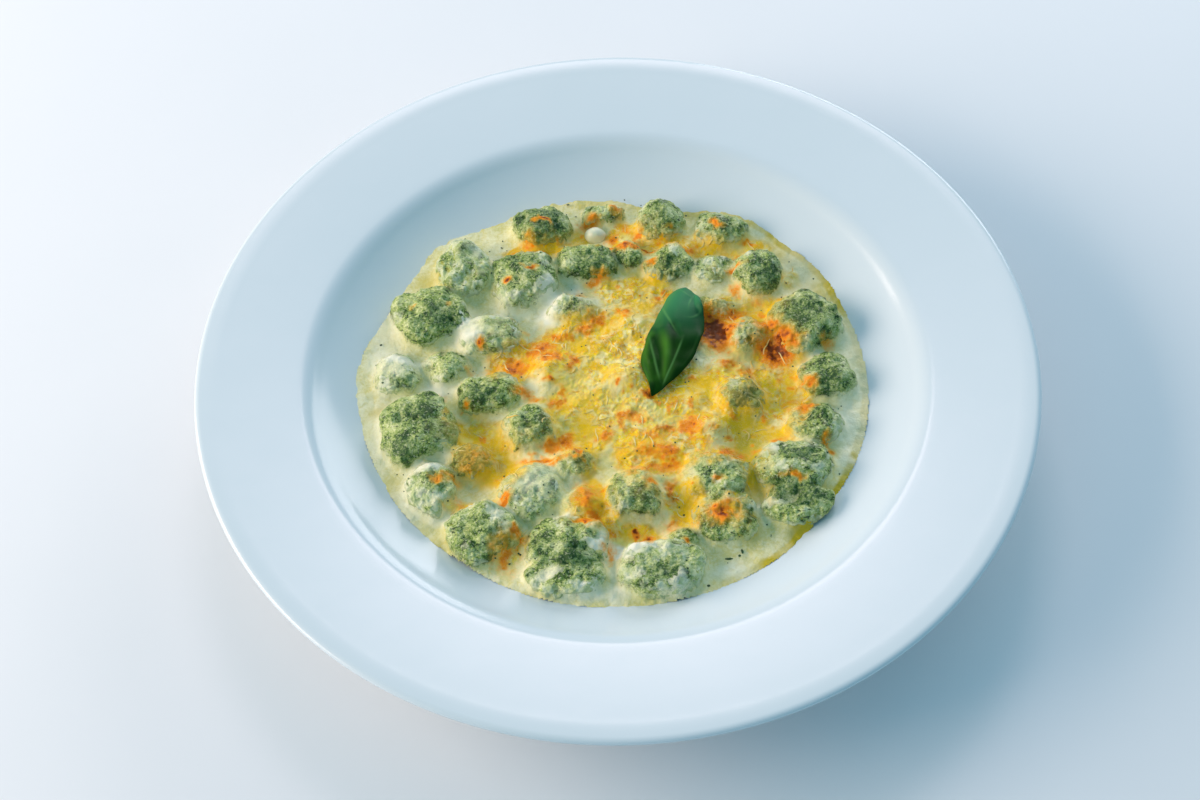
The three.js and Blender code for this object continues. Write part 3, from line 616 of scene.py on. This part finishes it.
# ---- Cream sauce ------------------------------------------------------------------------------
# Reduced cream and stock that fills the well round the dumplings. It sets to a glossy skin, creeps
# up their sides, lies over some of them as a thin film, and lets a little butter oil out at the edge.

SAUCE_RADIUS = 90.7
SAUCE_CELL = 0.56
WALL_BLEND = 0.75  # share of the radius where the sauce starts to turn to the wall
WALL_FILM = 0.3  # how far its edge stands above the wall
# where the edge reaches further up the wall or stops short: degrees, spread, millimetres
EDGE_REACH = [(175, 16, 3), (78, 18, -3), (57, 8, 2), (232, 14, -1.2), (310, 20, 0.6), (90, 55, -1.8),
              (250, 40, 1.6), (5, 30, -1.4), (30, 9, 1.0), (76, 7, -3.2), (158, 12, -1.6), (322, 14, -1.6),
              (135, 9, 2.4), (120, 9, -1.4)]
OIL_LINE = [(-25, 42, 1.0), (35, 22, 0.8)]  # degrees, spread, strength
CHEESE_CENTRE = (5, -13)
CHEESE_HALF = (47, 56)
CHEESE_RISE = 3.2
CHEESE_FADE = (0.72, 1.04)  # shares of its radius between which the field thins out
CHEESE_REACH = [(20, 14, 5), (65, 16, -5), (110, 12, 4), (160, 18, -5), (205, 14, 4), (250, 14, 5),
                (290, 12, -6), (335, 14, -4)]
# dumplings wholly under the cheese: x, y, half-width, half-depth, rise
BURIED = [(4, -2, 8, 6, 4.2), (33, -24, 7.5, 6, 4), (-26, 4, 8.5, 6, 4), (8, 22, 9, 7, 2.4),
          (14, -32, 9, 6, 2.6)]
FILLET = 3.6  # width of the hollow corner where the sauce meets a dumpling
CREEP, MOST_CREEP = 0.64, 8  # share of the way to the dumplings' level that it rises between them
THINNEST, THICKEST = -1.6, 1.0  # the film over a dumpling; below 0 the dumpling is bare
BLUR_FINE, BLUR, BLUR_WIDE = 0.5, 1.4, 4.0  # millimetres
NOTHING = -99.0  # the height of a dumpling where there is none
DEEPEST = 3  # a dumpling counts as no further below the bed than this
EDGE_BAND = (0.93, 1.0)  # shares of the radius between which the sauce stops creeping up


def reach_at(bells, angle):
    """Sum of bell-shaped reaches round an edge at each angle."""
    degrees = np.degrees(angle)
    total = np.zeros(len(angle))
    for at, spread, reach in bells:
        away = (degrees - at + 180) % 360 - 180
        total += reach * np.exp(-(away / spread) ** 2)
    return total


def swell(x, y, size, seed):
    """Slow rise and fall of a settled surface, from -1 to 1."""
    long = np.sin(x / size + seed * 1.7) * np.cos(y / size - seed * 2.3)
    return (long + 0.5 * np.sin((x - y) / (size * 0.6) + seed)) / 1.5


def blended(first, second, width):
    """The higher of two surfaces, with the corner between them filled to a given width."""
    gap = np.clip(width - np.abs(first - second), 0, None)
    return np.maximum(first, second) + gap * gap / (4 * width)


def cheese_share(x, y):
    """0 in the middle of the melted field and 1 at its edge."""
    dx, dy = x - CHEESE_CENTRE[0], y - CHEESE_CENTRE[1]
    angle = np.arctan2(dy, dx)
    radius = np.hypot(CHEESE_HALF[0] * np.cos(angle), CHEESE_HALF[1] * np.sin(angle))
    return np.hypot(dx, dy) / (radius + reach_at(CHEESE_REACH, angle))


def neighbours(field):
    """A grid's values moved by one cell to each of four sides."""
    wide = np.pad(field, 1, mode="edge")
    return wide[:-2, 1:-1], wide[2:, 1:-1], wide[1:-1, :-2], wide[1:-1, 2:]


def soften(field, shape, millimetres, cell):
    """Blurs a grid's values over a given distance."""
    field = field.reshape(shape)
    for _ in range(max(1, round(2.0 * (millimetres / cell) ** 2))):
        field = (sum(neighbours(field)) + 4 * field) / 8
    return field.ravel()


def gratin(x, y, shape, cell):
    """The baked surface over a grid of flat points: its height, and how its layers are spread."""
    flat = np.stack([x, y, np.zeros(len(x))], axis=1)
    radius, angle = np.hypot(x, y), np.arctan2(y, x)
    edge = SAUCE_RADIUS + reach_at(EDGE_REACH, angle) + 0.6 * grain(flat, 6.0, 20)
    level = SAUCE_LEVEL + 0.4 * swell(x, y, 9, 3)
    wall = np.interp(edge, wall_radii, wall_heights) + WALL_FILM
    level = level + (wall - level) * ease(radius / edge, WALL_BLEND, 1)
    cheese, molten, browned, cream, oil, leafy_and_shaded = grilled(flat)

    share = cheese_share(x, y)
    inside = 1 - ease(share, *CHEESE_FADE)
    rise = CHEESE_RISE + 0.7 * swell(x, y, 5, 8) + 0.5 * grain(flat, 4.0, 28)
    for lump_x, lump_y, across, deep, height in BURIED:
        rise += height * np.exp(-((x - lump_x) / across) ** 2 - ((y - lump_y) / deep) ** 2)
    bed = level + inside * rise + 0.5 * cream + 0.9 * (cheese - inside) * (cheese > inside) - 0.6 * molten

    # the dumplings as hills under the surface, each with how far it is coated
    hill, coats = np.full(len(x), NOTHING), np.full(len(x), 0.5)
    for surface, low, high, coated in hills:
        over = np.flatnonzero((x > low[0]) & (x < high[0]) & (y > low[1]) & (y < high[1]))
        for i in over.tolist():
            height = height_on(surface, x[i], y[i], NOTHING)
            if height > hill[i]:
                hill[i], coats[i] = height, coated
    hill = np.maximum(hill, bed - DEEPEST)
    at_edge = 1 - ease(radius / edge, *EDGE_BAND)
    wide = soften(np.maximum(hill, bed), shape, BLUR_WIDE, cell)
    bed = bed + CREEP * np.clip(wide - bed, 0, MOST_CREEP) * at_edge
    smooth_hill = soften(hill, shape, BLUR_FINE, cell)
    smoother_hill = soften(hill, shape, BLUR, cell)
    # the film is thick where a dumpling is coated, low or creamed, and thin on the bare-leaf patches, which
    # partly carry painted shade
    proud = np.clip(smooth_hill - bed, 0, None)
    film = (-1.15 + 1.5 * coats + 0.6 * grain(flat, 4.5, 21) + 0.4 * grain(flat, 1.8, 22)
            + 1.2 * np.exp(-proud / 1.6) + 0.9 * cream + 0.15 * cheese - 0.7 * leafy_and_shaded)
    melted_over = ease(film, 0.1, 0.9)
    draped = smooth_hill + (smoother_hill - smooth_hill) * melted_over + np.clip(film, THINNEST, THICKEST)
    surface = blended(bed, draped, FILLET)
    thin = np.clip(surface - smooth_hill, 0, None)
    # how far a green dumpling shows through a thin film, how near one is, and where molten fat pools
    through = np.where(smooth_hill > bed - 2.5, np.exp(-thin / 0.7), 0)
    near_juice_and_shade = ease(wide - bed, -0.5, 2.5)
    hollow = ease(wide - surface, 0.0, 1.8)

    # relief of the skin: strings and blisters on the cheese, ripples on the sauce
    strings = np.clip(1 - np.abs(grain(flat + 1.6 * grain(flat, 3.0, 23)[:, None], 1.9, 24)) * 2.2, 0, 1) ** 2
    skin = 0.4 * strings + 0.14 * grain(flat, 1.1, 25) + 0.7 * grain(flat, 3.2, 31)
    surface += cheese * skin * (1 - 0.6 * molten)
    surface += np.clip(browned, 0, 1) * (0.25 + 0.3 * grain(flat, 1.4, 26))
    surface += (1 - cheese) * (0.2 * grain(flat, 1.6, 27) + 0.28 * grain(flat, 3.2, 29))
    molten = np.clip(molten + 0.5 * cheese * hollow, 0, 1)
    # butter oil has run out in a thin line along the right-hand edge
    lined = ease(radius, edge - 2.0, edge - 0.8) * reach_at(OIL_LINE, angle)
    oil = np.clip(oil + np.clip(lined, 0, 1) * (0.75 + 0.5 * grain(flat, 3.0, 30)), 0, 1)
    return surface, share, (cheese, molten, browned, cream), (through, oil, near_juice_and_shade), leafy_and_shaded


def bake_sheet(low, high, cell, sink, keep):
    """A piece of the baked surface: sunk where sink says, and cut off where keep is false."""
    count = [int(round((high[i] - low[i]) / cell)) for i in (0, 1)]
    middle = Vector(((low[0] + high[0]) / 2, (low[1] + high[1]) / 2, 0)) * MM
    spread = Matrix.Diagonal(((high[0] - low[0]) / 2 * MM, (high[1] - low[1]) / 2 * MM, 1, 1))
    shape = bmesh.new()
    bmesh.ops.create_grid(shape, x_segments=count[0], y_segments=count[1], size=1,
                          matrix=Matrix.Translation(middle) @ spread)
    mesh = mesh_from(shape)
    points = points_of(mesh)
    rows = (count[1] + 1, count[0] + 1)
    surface, share, grill, sauce, leafy_and_shaded = gratin(points[:, 0], points[:, 1], rows, cell)
    points[:, 2] = surface - sink(share)
    move_points(mesh, points)
    paint(mesh, "grill", *grill)
    paint(mesh, "sauce", *sauce)
    paint(mesh, "bare", leafy_and_shaded)
    kept = keep(points, share)
    shape = bmesh.new()
    shape.from_mesh(mesh)
    shape.verts.ensure_lookup_table()
    bmesh.ops.delete(shape, geom=[shape.verts[i] for i in np.flatnonzero(~kept)], context="VERTS")
    return mesh_from(shape)


# Baked cream and cheese: pale ivory where it is sauce, golden and stringy where cheese melted on
# it, blistered orange to brown under the grill. The fat in it keeps every part of it glossy.
baked, add, place, shader = start_finish("baked_cream_and_cheese")
cheese, gold, brown, cream = painted(add, "grill")
through, oil, near_juice_and_shade, _ = painted(add, "sauce")
green, crumb = spinach_crumb(add, place, painted(add, "bare")[0])
slow = noise(add, place, 9, 3.0)
fine = noise(add, place, 1.0, 4.0, roughness=0.6, distortion=0.5)
mottled = add("Mix", {0: 0.45, 2: slow, 3: fine})
tone = remap(add, mottled, 0.4, 0.6)
ripple = noise(add, place, 2.8, 3.0, distortion=1.0)
drops = remap(add, ripple, 0.54, 0.66, top=0.4)
spark = remap(add, ripple, 0.38, 0.6)
blotch = noise(add, place, 5.0, 4.0, roughness=0.66, distortion=1.0)
pale = remap(add, blotch, 0.49, 0.58, top=0.85)
yellow = lay_colours(add, "#F2AE06", (spark, 1, "#FFDF2C"), (pale, 1, "#FEF4B0"))
butter = lay_colours(add, "#F1F0D8", (cheese, 1, "#FAE882"))
# near the dumplings the sauce turns greener and darker: partly spinach juice, partly painted shade between
# them
creamy = lay_colours(
    add, "#DCD48E", (tone, 1, "#F4EFC6"), (near_juice_and_shade, 0.42, "#CCD292"), (drops, 1, "#DCCB6A"), (cheese, 1, yellow),
    (through, 0.95, green), (gold, 0.9, "#F2C208"), (oil, 1, "#C4B02C"), (cream, 1, butter))
uneven = combine(add, "SUBTRACT", fine, 0.5)
uneven = combine(add, "MULTIPLY_ADD", uneven, 0.6, brown)
# melted shreds: pale curly lines about half a millimetre wide, where the cheese is dry and pale; their pale
# colour is partly shreds and partly painted glints
curls_and_glints = []
for size, turn, stretch in ((2.7, 0.4, 1.0), (2.2, 1.9, 0.7)):
    bent = add("Mapping", {"Vector": place, "Rotation": (0, 0, turn), "Scale": (stretch, 1, 1)})
    wander = noise(add, bent, size, 1.5, distortion=2.0)
    centred = combine(add, "SUBTRACT", wander, 0.5)
    away = combine(add, "ABSOLUTE", centred)
    curls_and_glints.append(remap(add, away, 0.024, 0.006))
shreds = combine(add, "MAXIMUM", *curls_and_glints)
dry = combine(add, "MULTIPLY_ADD", gold, -0.75, 1.0)
unburnt = combine(add, "MULTIPLY_ADD", brown, -1.1, 1.0, use_clamp=True)
for share in (dry, unburnt, cheese):
    shreds = combine(add, "MULTIPLY", shreds, share)
skin = lay_colours(add, toasting(add, uneven, creamy), (shreds, 0.5, "#FFF4C4"))
gloss = add("MapRange", {"Value": gold, "To Min": 0.18, "To Max": 0.12})
grit = combine(add, "MULTIPLY", crumb, through)
tops = combine(add, "MULTIPLY_ADD", shreds, 0.6, fine)
tops = combine(add, "MULTIPLY_ADD", grit, 1.2, tops)
bump = add("Bump", {"Height": tops, "Strength": 0.75, "Distance": 0.45 * MM})
set_inputs(shader, {
    "Base Color": skin, "Roughness": gloss, "Normal": bump, "IOR": 1.45, "Specular IOR Level": 0.18,
    "Subsurface Weight": 0.06, "Subsurface Radius": (1.0, 0.7, 0.3), "Subsurface Scale": 1.2 * MM})

# the sheet of sauce reaches under the cheese, and is cut off beyond the edge
SAUCE_REACH = SAUCE_RADIUS + 6
SAUCE_SINK, CHEESE_SINK = 2.5, 2.0
sauce_mesh = bake_sheet(
    (-SAUCE_REACH, -SAUCE_REACH), (SAUCE_REACH, SAUCE_REACH), SAUCE_CELL,
    sink=lambda share: SAUCE_SINK * (1 - ease(share, 0.88, 0.99)),
    keep=lambda points, share: np.hypot(points[:, 0], points[:, 1])
    < SAUCE_RADIUS + reach_at(EDGE_REACH, np.arctan2(points[:, 1], points[:, 0])) + 1.6)
sauce = show_mesh("cream_sauce_surface", sauce_mesh, baked)
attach(sauce, "root")
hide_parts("sauce")

# ---- Melted cheese ----------------------------------------------------------------------------
# Grated hard cheese and mozzarella, strewn over the middle and melted to one blistered field. It
# is the same baked surface in finer cells, as its strings and blisters are under a millimetre.

CHEESE_CELL = 0.38
reach = [half + 9 for half in CHEESE_HALF]  # past the furthest bulge of its edge
cheese_mesh = bake_sheet(
    [CHEESE_CENTRE[i] - reach[i] for i in (0, 1)], [CHEESE_CENTRE[i] + reach[i] for i in (0, 1)], CHEESE_CELL,
    sink=lambda share: CHEESE_SINK * ease(share, 0.97, 1.06), keep=lambda points, share: share < 1.05)
blanket = show_mesh("melted_cheese_field", cheese_mesh, baked)
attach(blanket, "root")
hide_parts("melted_cheese")

# ---- Melted shreds ----------------------------------------------------------------------------
# Shreds of grated cheese that softened without running: pale wiggly strings half a millimetre
# thick, half sunk in the melted field and lying over the dumplings beside it.

SHRED_COUNT, SHRED_TRIES = 170, 9000
SHRED_FIELD = ((-70, 78), (-80, 76))  # reach in x and in y
FEWEST_POINTS, MOST_POINTS = 4, 9
SHRED_STEP, SHRED_RADIUS, SHRED_SINK = 0.8, 0.2, 0.02
SHRED_ENDS, SHRED_MIDDLE = 0.55, 0.75  # shares of the radius: at the ends, and added in the middle
FIRST_BEND, BEND_KEPT, BEND_CHANGE = 0.25, 0.7, 0.35  # radians a step, and the share carried on
PROUD = 0.05  # how far a bare dumpling stands out of the sauce
covers = [surface_of(cover) for cover in (sauce_mesh, cheese_mesh)]


def top_of_food(x, y):
    """The height of the highest food at a flat point, and whether that is a bare dumpling."""
    heights = [height_on(cover, x, y, SAUCE_LEVEL) for cover in covers]
    for surface, low, high, _ in hills:
        if low[0] < x < high[0] and low[1] < y < high[1]:
            heights.append(height_on(surface, x, y, SAUCE_LEVEL))
    return max(heights), max(heights) > max(heights[:len(covers)]) + PROUD


def settled_mesh(source):
    """The finished mesh of a curve or of an object with modifiers, which is then removed."""
    mesh = bpy.data.meshes.new_from_object(source.evaluated_get(bpy.context.evaluated_depsgraph_get()))
    bpy.data.objects.remove(source)
    return mesh


chance = np.random.RandomState(41)
starts = np.zeros((SHRED_TRIES, 3))
for axis, (low, high) in enumerate(SHRED_FIELD):
    starts[:, axis] = chance.uniform(low, high, SHRED_TRIES)
cheese, molten, browned, cream, _, _ = grilled(starts)
weight = cheese * (1 - 0.75 * molten) * (1 - 0.5 * np.clip(cream, 0, 1)) * np.clip(1.1 - 1.2 * browned, 0, 1)
starts = starts[chance.uniform(0, 1, SHRED_TRIES) < weight * 0.9][:SHRED_COUNT]
shred_curve = bpy.data.curves.new("shreds", "CURVE")
shred_curve.dimensions = "3D"
shred_curve.bevel_depth = SHRED_RADIUS * MM
shred_curve.bevel_resolution = 0
shred_curve.use_fill_caps = True
for x, y, _ in starts:
    if top_of_food(x, y)[1]:
        continue
    heading, bend = chance.uniform(0, math.tau), chance.uniform(-FIRST_BEND, FIRST_BEND)
    count = chance.randint(FEWEST_POINTS, MOST_POINTS)
    spline = shred_curve.splines.new("POLY")
    spline.points.add(count - 1)
    for k, point in enumerate(spline.points):
        point.co = (x * MM, y * MM, (top_of_food(x, y)[0] - SHRED_SINK) * MM, 1)
        thicker = math.sin(math.pi * (k + 0.5) / count) * chance.uniform(0.8, 1.2)
        point.radius = SHRED_ENDS + SHRED_MIDDLE * thicker
        bend = BEND_KEPT * bend + chance.uniform(-BEND_CHANGE, BEND_CHANGE)
        heading += bend
        x += SHRED_STEP * math.cos(heading)
        y += SHRED_STEP * math.sin(heading)
shred_object = bpy.data.objects.new("shreds", shred_curve)
scene.collection.objects.link(shred_object)
# Softened cheese shreds: pale straw yellow turning golden, waxy and glossy.
softened, add, place, shader = start_finish("softened_cheese_shreds")
cloud = noise(add, place, 5, 3.0)
tone = remap(add, cloud, 0.38, 0.64)
set_inputs(shader, {"Base Color": lay_colours(add, "#F4E29A", (tone, 1, "#EBB93C")), "Roughness": 0.28,
                    "Specular IOR Level": 0.25})
shreds = show_mesh("cheese_shreds", settled_mesh(shred_object), softened)
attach(shreds, "root")

# ---- Spinach bits -----------------------------------------------------------------------------
# Scraps of chopped spinach that came away from the dough and float in the sauce. They are wilted
# leaf, cut by the knife that chopped it for the dough.

# the larger scraps: x, y, length, width, turn in degrees
SCRAPS = [(35.5, -75.6, 3.4, 1.0, 0), (39.2, -74.6, 1.2, 1.0, 20), (40.2, -73.0, 1.0, 2.2, 10),
          (13, -85, 1.6, 1.2, 0), (-60, 26, 1.5, 1.0, 0), (-86, 20, 1.2, 0.9, 30), (-16, 86, 1.5, 0.8, 0),
          (28, -86, 1.4, 1.0, 0), (72, -38, 1.4, 1.0, 0), (-76, -34, 1.4, 1.0, 0), (-30, 82, 1.2, 0.8, 0),
          (82, 6, 1.6, 1.0, 40)]
SCRAP_COUNT = 240
SCRAP_FIELD = 88  # radius that the small ones are strewn over
SCRAP_THICKNESS = 0.28
SCRAP_SIZES = (0.18, 0.5)  # half-lengths of the small ones

chance = np.random.RandomState(43)
scraps_shape = bmesh.new()
places = [(x, y, length / 2, width / 2, turn) for x, y, length, width, turn in SCRAPS]
while len(places) < SCRAP_COUNT:
    radius, angle = SCRAP_FIELD * math.sqrt(chance.uniform(0, 1)), chance.uniform(0, math.tau)
    size = chance.uniform(*SCRAP_SIZES)
    places.append((radius * math.cos(angle), radius * math.sin(angle), size, size * chance.uniform(0.5, 1),
                   chance.uniform(0, 180)))
for x, y, length, width, turn in places:
    rest = Matrix.Translation(Vector((x, y, top_of_food(x, y)[0])) * MM)
    flattened = Matrix.Diagonal((length, width, SCRAP_THICKNESS, 1))
    bmesh.ops.create_icosphere(scraps_shape, subdivisions=1, radius=MM,
                               matrix=rest @ Matrix.Rotation(math.radians(turn), 4, "Z") @ flattened)
# Wilted spinach: almost black green, wet and glossy.
wilted, add, place, shader = start_finish("wilted_spinach")
cloud = noise(add, place, 1.5, 2.0)
set_inputs(shader, {"Base Color": lay_colours(add, "#16300F", (cloud, 1, "#46662F")), "Roughness": 0.35})
scraps = show_mesh("spinach_scraps", mesh_from(scraps_shape), wilted)
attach(scraps, "root")

# ---- Cream ball -------------------------------------------------------------------------------
# A small round dollop of thick cream at the back, dropped from a spoon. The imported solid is
# rounded by subdivision and made a little uneven.

BALL_RELIEF, BALL_WOBBLE = (0.35, 2.6), (0.3, 3.4)  # height and size of its bumps
BALL_SINK = 0.25

ball_shape = bmesh.new()
ball_shape.from_mesh(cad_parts["cream_ball"].data)
bmesh.ops.remove_doubles(ball_shape, verts=ball_shape.verts, dist=1e-5)
cage = bpy.data.objects.new("cage", mesh_from(ball_shape))
scene.collection.objects.link(cage)
rounding = cage.modifiers.new("rounding", "SUBSURF")
rounding.levels = rounding.render_levels = 3
ball_mesh = settled_mesh(cage)
points = points_of(ball_mesh)
points[:, 2] += BALL_RELIEF[0] * grain(points, BALL_RELIEF[1], 180) - BALL_SINK
points[:, :2] += BALL_WOBBLE[0] * grain(points, BALL_WOBBLE[1], 181)[:, None]
move_points(ball_mesh, points)
# Thick cream: near white, smooth and softly glossy, and it lets a little light in.
thick_cream, add, place, shader = start_finish("thick_cream")
cloud = noise(add, place, 3, 2.0)
set_inputs(shader, {
    "Base Color": lay_colours(add, "#DCDDB8", (cloud, 1, "#ECEBD2")), "Roughness": 0.35,
    "Subsurface Weight": 0.3, "Subsurface Radius": (1.0, 0.8, 0.5), "Subsurface Scale": 1.5 * MM})
ball = show_mesh("cream_dollop", ball_mesh, thick_cream)
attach(ball, "root")
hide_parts("cream_ball")

# ---- Basil leaf -------------------------------------------------------------------------------
# One small fresh basil leaf, laid on last. The blade is glossy, arched from edge to edge, and
# folded into long pleats that run together at its pointed tip.

# the outline from the rounded end to the tip: left x and y, right x and y
OUTLINE = [
    (26.6, 38.1, 27.4, 37.9), (24.0, 37.4, 29.3, 36.0), (21.0, 34.9, 31.1, 32.7), (19.5, 32.0, 32.0, 30.0),
    (18.0, 28.3, 32.6, 26.6), (16.2, 25.1, 32.9, 23.2), (15.1, 21.4, 32.8, 19.3), (13.4, 17.9, 32.2, 15.3),
    (11.7, 14.4, 30.9, 11.7), (10.8, 10.1, 29.3, 7.3), (9.5, 6.8, 28.1, 4.1), (9.0, 4.0, 25.7, 0.7),
    (9.4, 0.2, 22.9, -2.8), (10.8, -3.6, 19.4, -6.2), (11.9, -7.4, 16.0, -8.9), (12.0, -11.1, 12.4, -11.2),
]
LEAF_HEIGHT = 25.6
LEAF_ROWS, LEAF_COLUMNS = 120, 64
LEAF_THICKNESS = 0.25
ARCH, BOW = 3.8, 0.8  # rise across the blade and along it
FULL_ARCH = 18  # width of blade from which the arch is full
OUTLINE_PASSES, PRESS_PASSES = 14, 4  # how often the outline and the pressed places are smoothed or widened
REST_GAP, LEAST_GAP = 0.5, 0.8  # over the points that it rests on, and over every point
REST_SHARE = 0.08  # share of the blade that rests
PRESS_BLUR, PRESS_CELL = 1.2, 0.4
SHIFT = 1.7  # how far back the blade sits from the lines below
# lines on the blade as x, y points; the pleats with their depth and half-width
PLEATS = [
    (((14.6, 13.0), (15.9, 4.0), (16.2, -6.0)), -0.55, 1.2),
    (((21.4, 18.0), (21.0, 7.0), (17.6, -5.0)), -0.6, 1.6),
    (((17.6, 16.5), (18.6, 5.0), (17.0, -4.0)), 0.5, 1.8),
    (((17.6, 30.0), (19.4, 22.0), (23.4, 13.0)), -0.4, 1.0),
    (((31.0, 12.0), (27.5, 8.0), (23.5, 1.5)), -0.5, 2.2),
    (((12.2, 17.0), (11.4, 10.0), (12.4, 3.0)), 0.4, 0.9),
    (((28.6, 30.0), (26.0, 24.0), (28.0, 14.0)), -0.35, 2.5),
]
VEINS = [
    ((17.9, 29.5), (19.4, 23.0), (23.0, 13.5)), ((24.9, 12.5), (21.4, 3.5), (16.2, -8.5)),
    ((12.4, 14.5), (14.0, 2.4), (15.6, -6.4)), ((24.0, 36.8), (26.9, 33.4), (29.6, 30.8)),
    ((30.3, 33.8), (28.2, 29.4), (27.3, 24.9)), ((25.6, 21.6), (29.2, 22.0), (32.4, 26.2)),
]
VEIN_WIDTH, VEIN_RISE, VEIN_TAPER = 0.34, 0.14, 4.5
# the lower right-hand edge stands a little clear of the food
RAISED_EDGE, RAISED_BY, RAISED_WIDTH = ((31.5, 12), (28, 3), (19, -6.5)), 2.2, 4
# lines of painted highlight along the ridges with half-width and strength, and the side painted in shade
MID_RIDGE_HIGHLIGHT = ((16.6, 17.0), (18.9, 6.0), (17.2, -4.0)), 1.9
RIDGE_HIGHLIGHTS = [(((13.4, 15.0), (10.6, 6.0), (11.6, -5.0)), 1.3, 0.7),
          (((22.5, 36.0), (17.5, 26.0), (15.5, 19.0)), 1.8, 0.4)]
SHADED_SIDE, SHADED_WIDTH, SHADED_SHARE = ((32.0, 24.0), (29.5, 10.0), (20.0, -4.0)), 4.0, 0.75


def through_points(line, count=14):
    """A smooth curve through three points, as a chain of short lines."""
    first, middle, last = (np.array(point) for point in line)
    pull = 2 * middle - (first + last) / 2
    share = np.linspace(0, 1, count)[:, None]
    return (1 - share) ** 2 * first + 2 * share * (1 - share) * pull + share ** 2 * last


def beside(flat, line, width):
    """1 on a smooth curve through three points, and less beside it, over points in the plane."""
    nearest = np.full(len(flat), 99.0)
    curve = through_points(line)
    for start, end in zip(curve, curve[1:]):
        along = end - start
        share = np.clip(((flat - start) @ along) / (along @ along), 0, 1)
        nearest = np.minimum(nearest, np.hypot(*(flat - start - share[:, None] * along).T))
    return np.exp(-(nearest / width) ** 2)


leaf_shape = bmesh.new()
bmesh.ops.create_grid(leaf_shape, x_segments=LEAF_ROWS, y_segments=LEAF_COLUMNS, size=MM)
leaf_mesh = mesh_from(leaf_shape)
grid = points_of(leaf_mesh)
along, across = (grid[:, 0] + 1) / 2, (grid[:, 1] + 1) / 2
edges = np.array(OUTLINE)
fine_marks = np.linspace(0, 1, LEAF_ROWS + 1)
marks = np.linspace(0, 1, len(edges))
smooth_edges = np.stack([np.interp(fine_marks, marks, edge) for edge in edges.T], axis=1)
for _ in range(OUTLINE_PASSES):
    smooth_edges[1:-1] = (smooth_edges[:-2] + smooth_edges[2:] + 2 * smooth_edges[1:-1]) / 4
rows = [np.interp(along, fine_marks, edge) for edge in smooth_edges.T]
points = np.zeros((len(grid), 3))
points[:, 0] = rows[2] + (rows[0] - rows[2]) * across
points[:, 1] = rows[3] + (rows[1] - rows[3]) * across
span = np.hypot(rows[2] - rows[0], rows[3] - rows[1])
arch = np.sin(np.pi * np.clip(across, 0, 1)) ** 0.75 * np.clip(span / FULL_ARCH, 0, 1)
points[:, 2] = ARCH * arch + BOW * np.sin(np.pi * along) + 0.25 * grain(points * (1, 1, 0), 5.0, 170)
inner = np.clip(np.minimum(across, 1 - across) * span / 1.5, 0, 1)
flat = points[:, :2].copy()
for line, depth, width in PLEATS:
    points[:, 2] += depth * beside(flat, line, width) * inner
points[:, 2] += RAISED_BY * beside(flat, RAISED_EDGE, RAISED_WIDTH)
vein = np.zeros(len(points))
for line in VEINS:
    ends = [np.hypot(*(flat - end).T) for end in (line[0], line[2])]
    vein = np.maximum(vein, beside(flat, line, VEIN_WIDTH) * np.clip(np.minimum(*ends) / VEIN_TAPER, 0.15, 1))
points += (0, SHIFT, LEAF_HEIGHT)
points[:, 2] += VEIN_RISE * vein
# the blade is let down until it rests, and gives way where the food stands up into it
under = np.array([top_of_food(x, y)[0] for x, y in points[:, :2]])
points[:, 2] += REST_GAP - np.quantile(points[:, 2] - under, REST_SHARE)
short = np.clip(under + LEAST_GAP - points[:, 2], 0, None).reshape(LEAF_COLUMNS + 1, LEAF_ROWS + 1)
for _ in range(PRESS_PASSES):
    short = np.max([*neighbours(short), short], axis=0)
points[:, 2] += soften(short, short.shape, PRESS_BLUR, PRESS_CELL)
move_points(leaf_mesh, points)
# painted highlights along the ridges and the left margin
ridge_highlight = beside(flat, *MID_RIDGE_HIGHLIGHT) * ease(flat[:, 1], 18, 8)
for line, width, strength in RIDGE_HIGHLIGHTS:
    ridge_highlight = np.maximum(ridge_highlight, strength * beside(flat, line, width))
# painted shade in the two deepest folds and over the lower right side
fold_shade = np.maximum(*(beside(flat, line, 1.3) for line, _, _ in PLEATS[:2]))
fold_shade = np.maximum(fold_shade, SHADED_SHARE * beside(flat, SHADED_SIDE, SHADED_WIDTH))
# the blade's layers: veins, a painted sky reflection towards the base, painted ridge highlights and painted
# fold shade
paint(leaf_mesh, "blade", vein, ease(along, 0.62, 0.15), ridge_highlight, fold_shade)
# Fresh basil: a waxy, deep green skin with paler veins, painted highlights on its ridges, painted shade in
# its folds and on its lower right side, and a painted bluish sky reflection at the base.
basil, add, place, shader = start_finish("fresh_basil")
veined, painted_sky_sheen, painted_ridge_highlight, painted_fold_shade = painted(add, "blade")
cells = noise(add, place, 4, 4.0)
skin = lay_colours(add, "#042003", (cells, 1, "#154A07"), (painted_sky_sheen, 0.95, "#3A8056"), (painted_ridge_highlight, 0.5, "#5E9C34"),
                   (painted_fold_shade, 0.6, "#062C06"), (veined, 0.3, "#74B266"))
pores = noise(add, place, 0.9, 2.0)
bump = add("Bump", {"Height": pores, "Strength": 0.12, "Distance": 0.2 * MM})
set_inputs(shader, {"Base Color": skin, "Normal": bump, "Roughness": 0.42, "Specular IOR Level": 0.06})
leaf = show_mesh("basil_blade", leaf_mesh, basil)
thickness = leaf.modifiers.new("thickness", "SOLIDIFY")
thickness.thickness = LEAF_THICKNESS * MM
thickness.offset = -1
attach(leaf, "root")
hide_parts("basil_leaf")
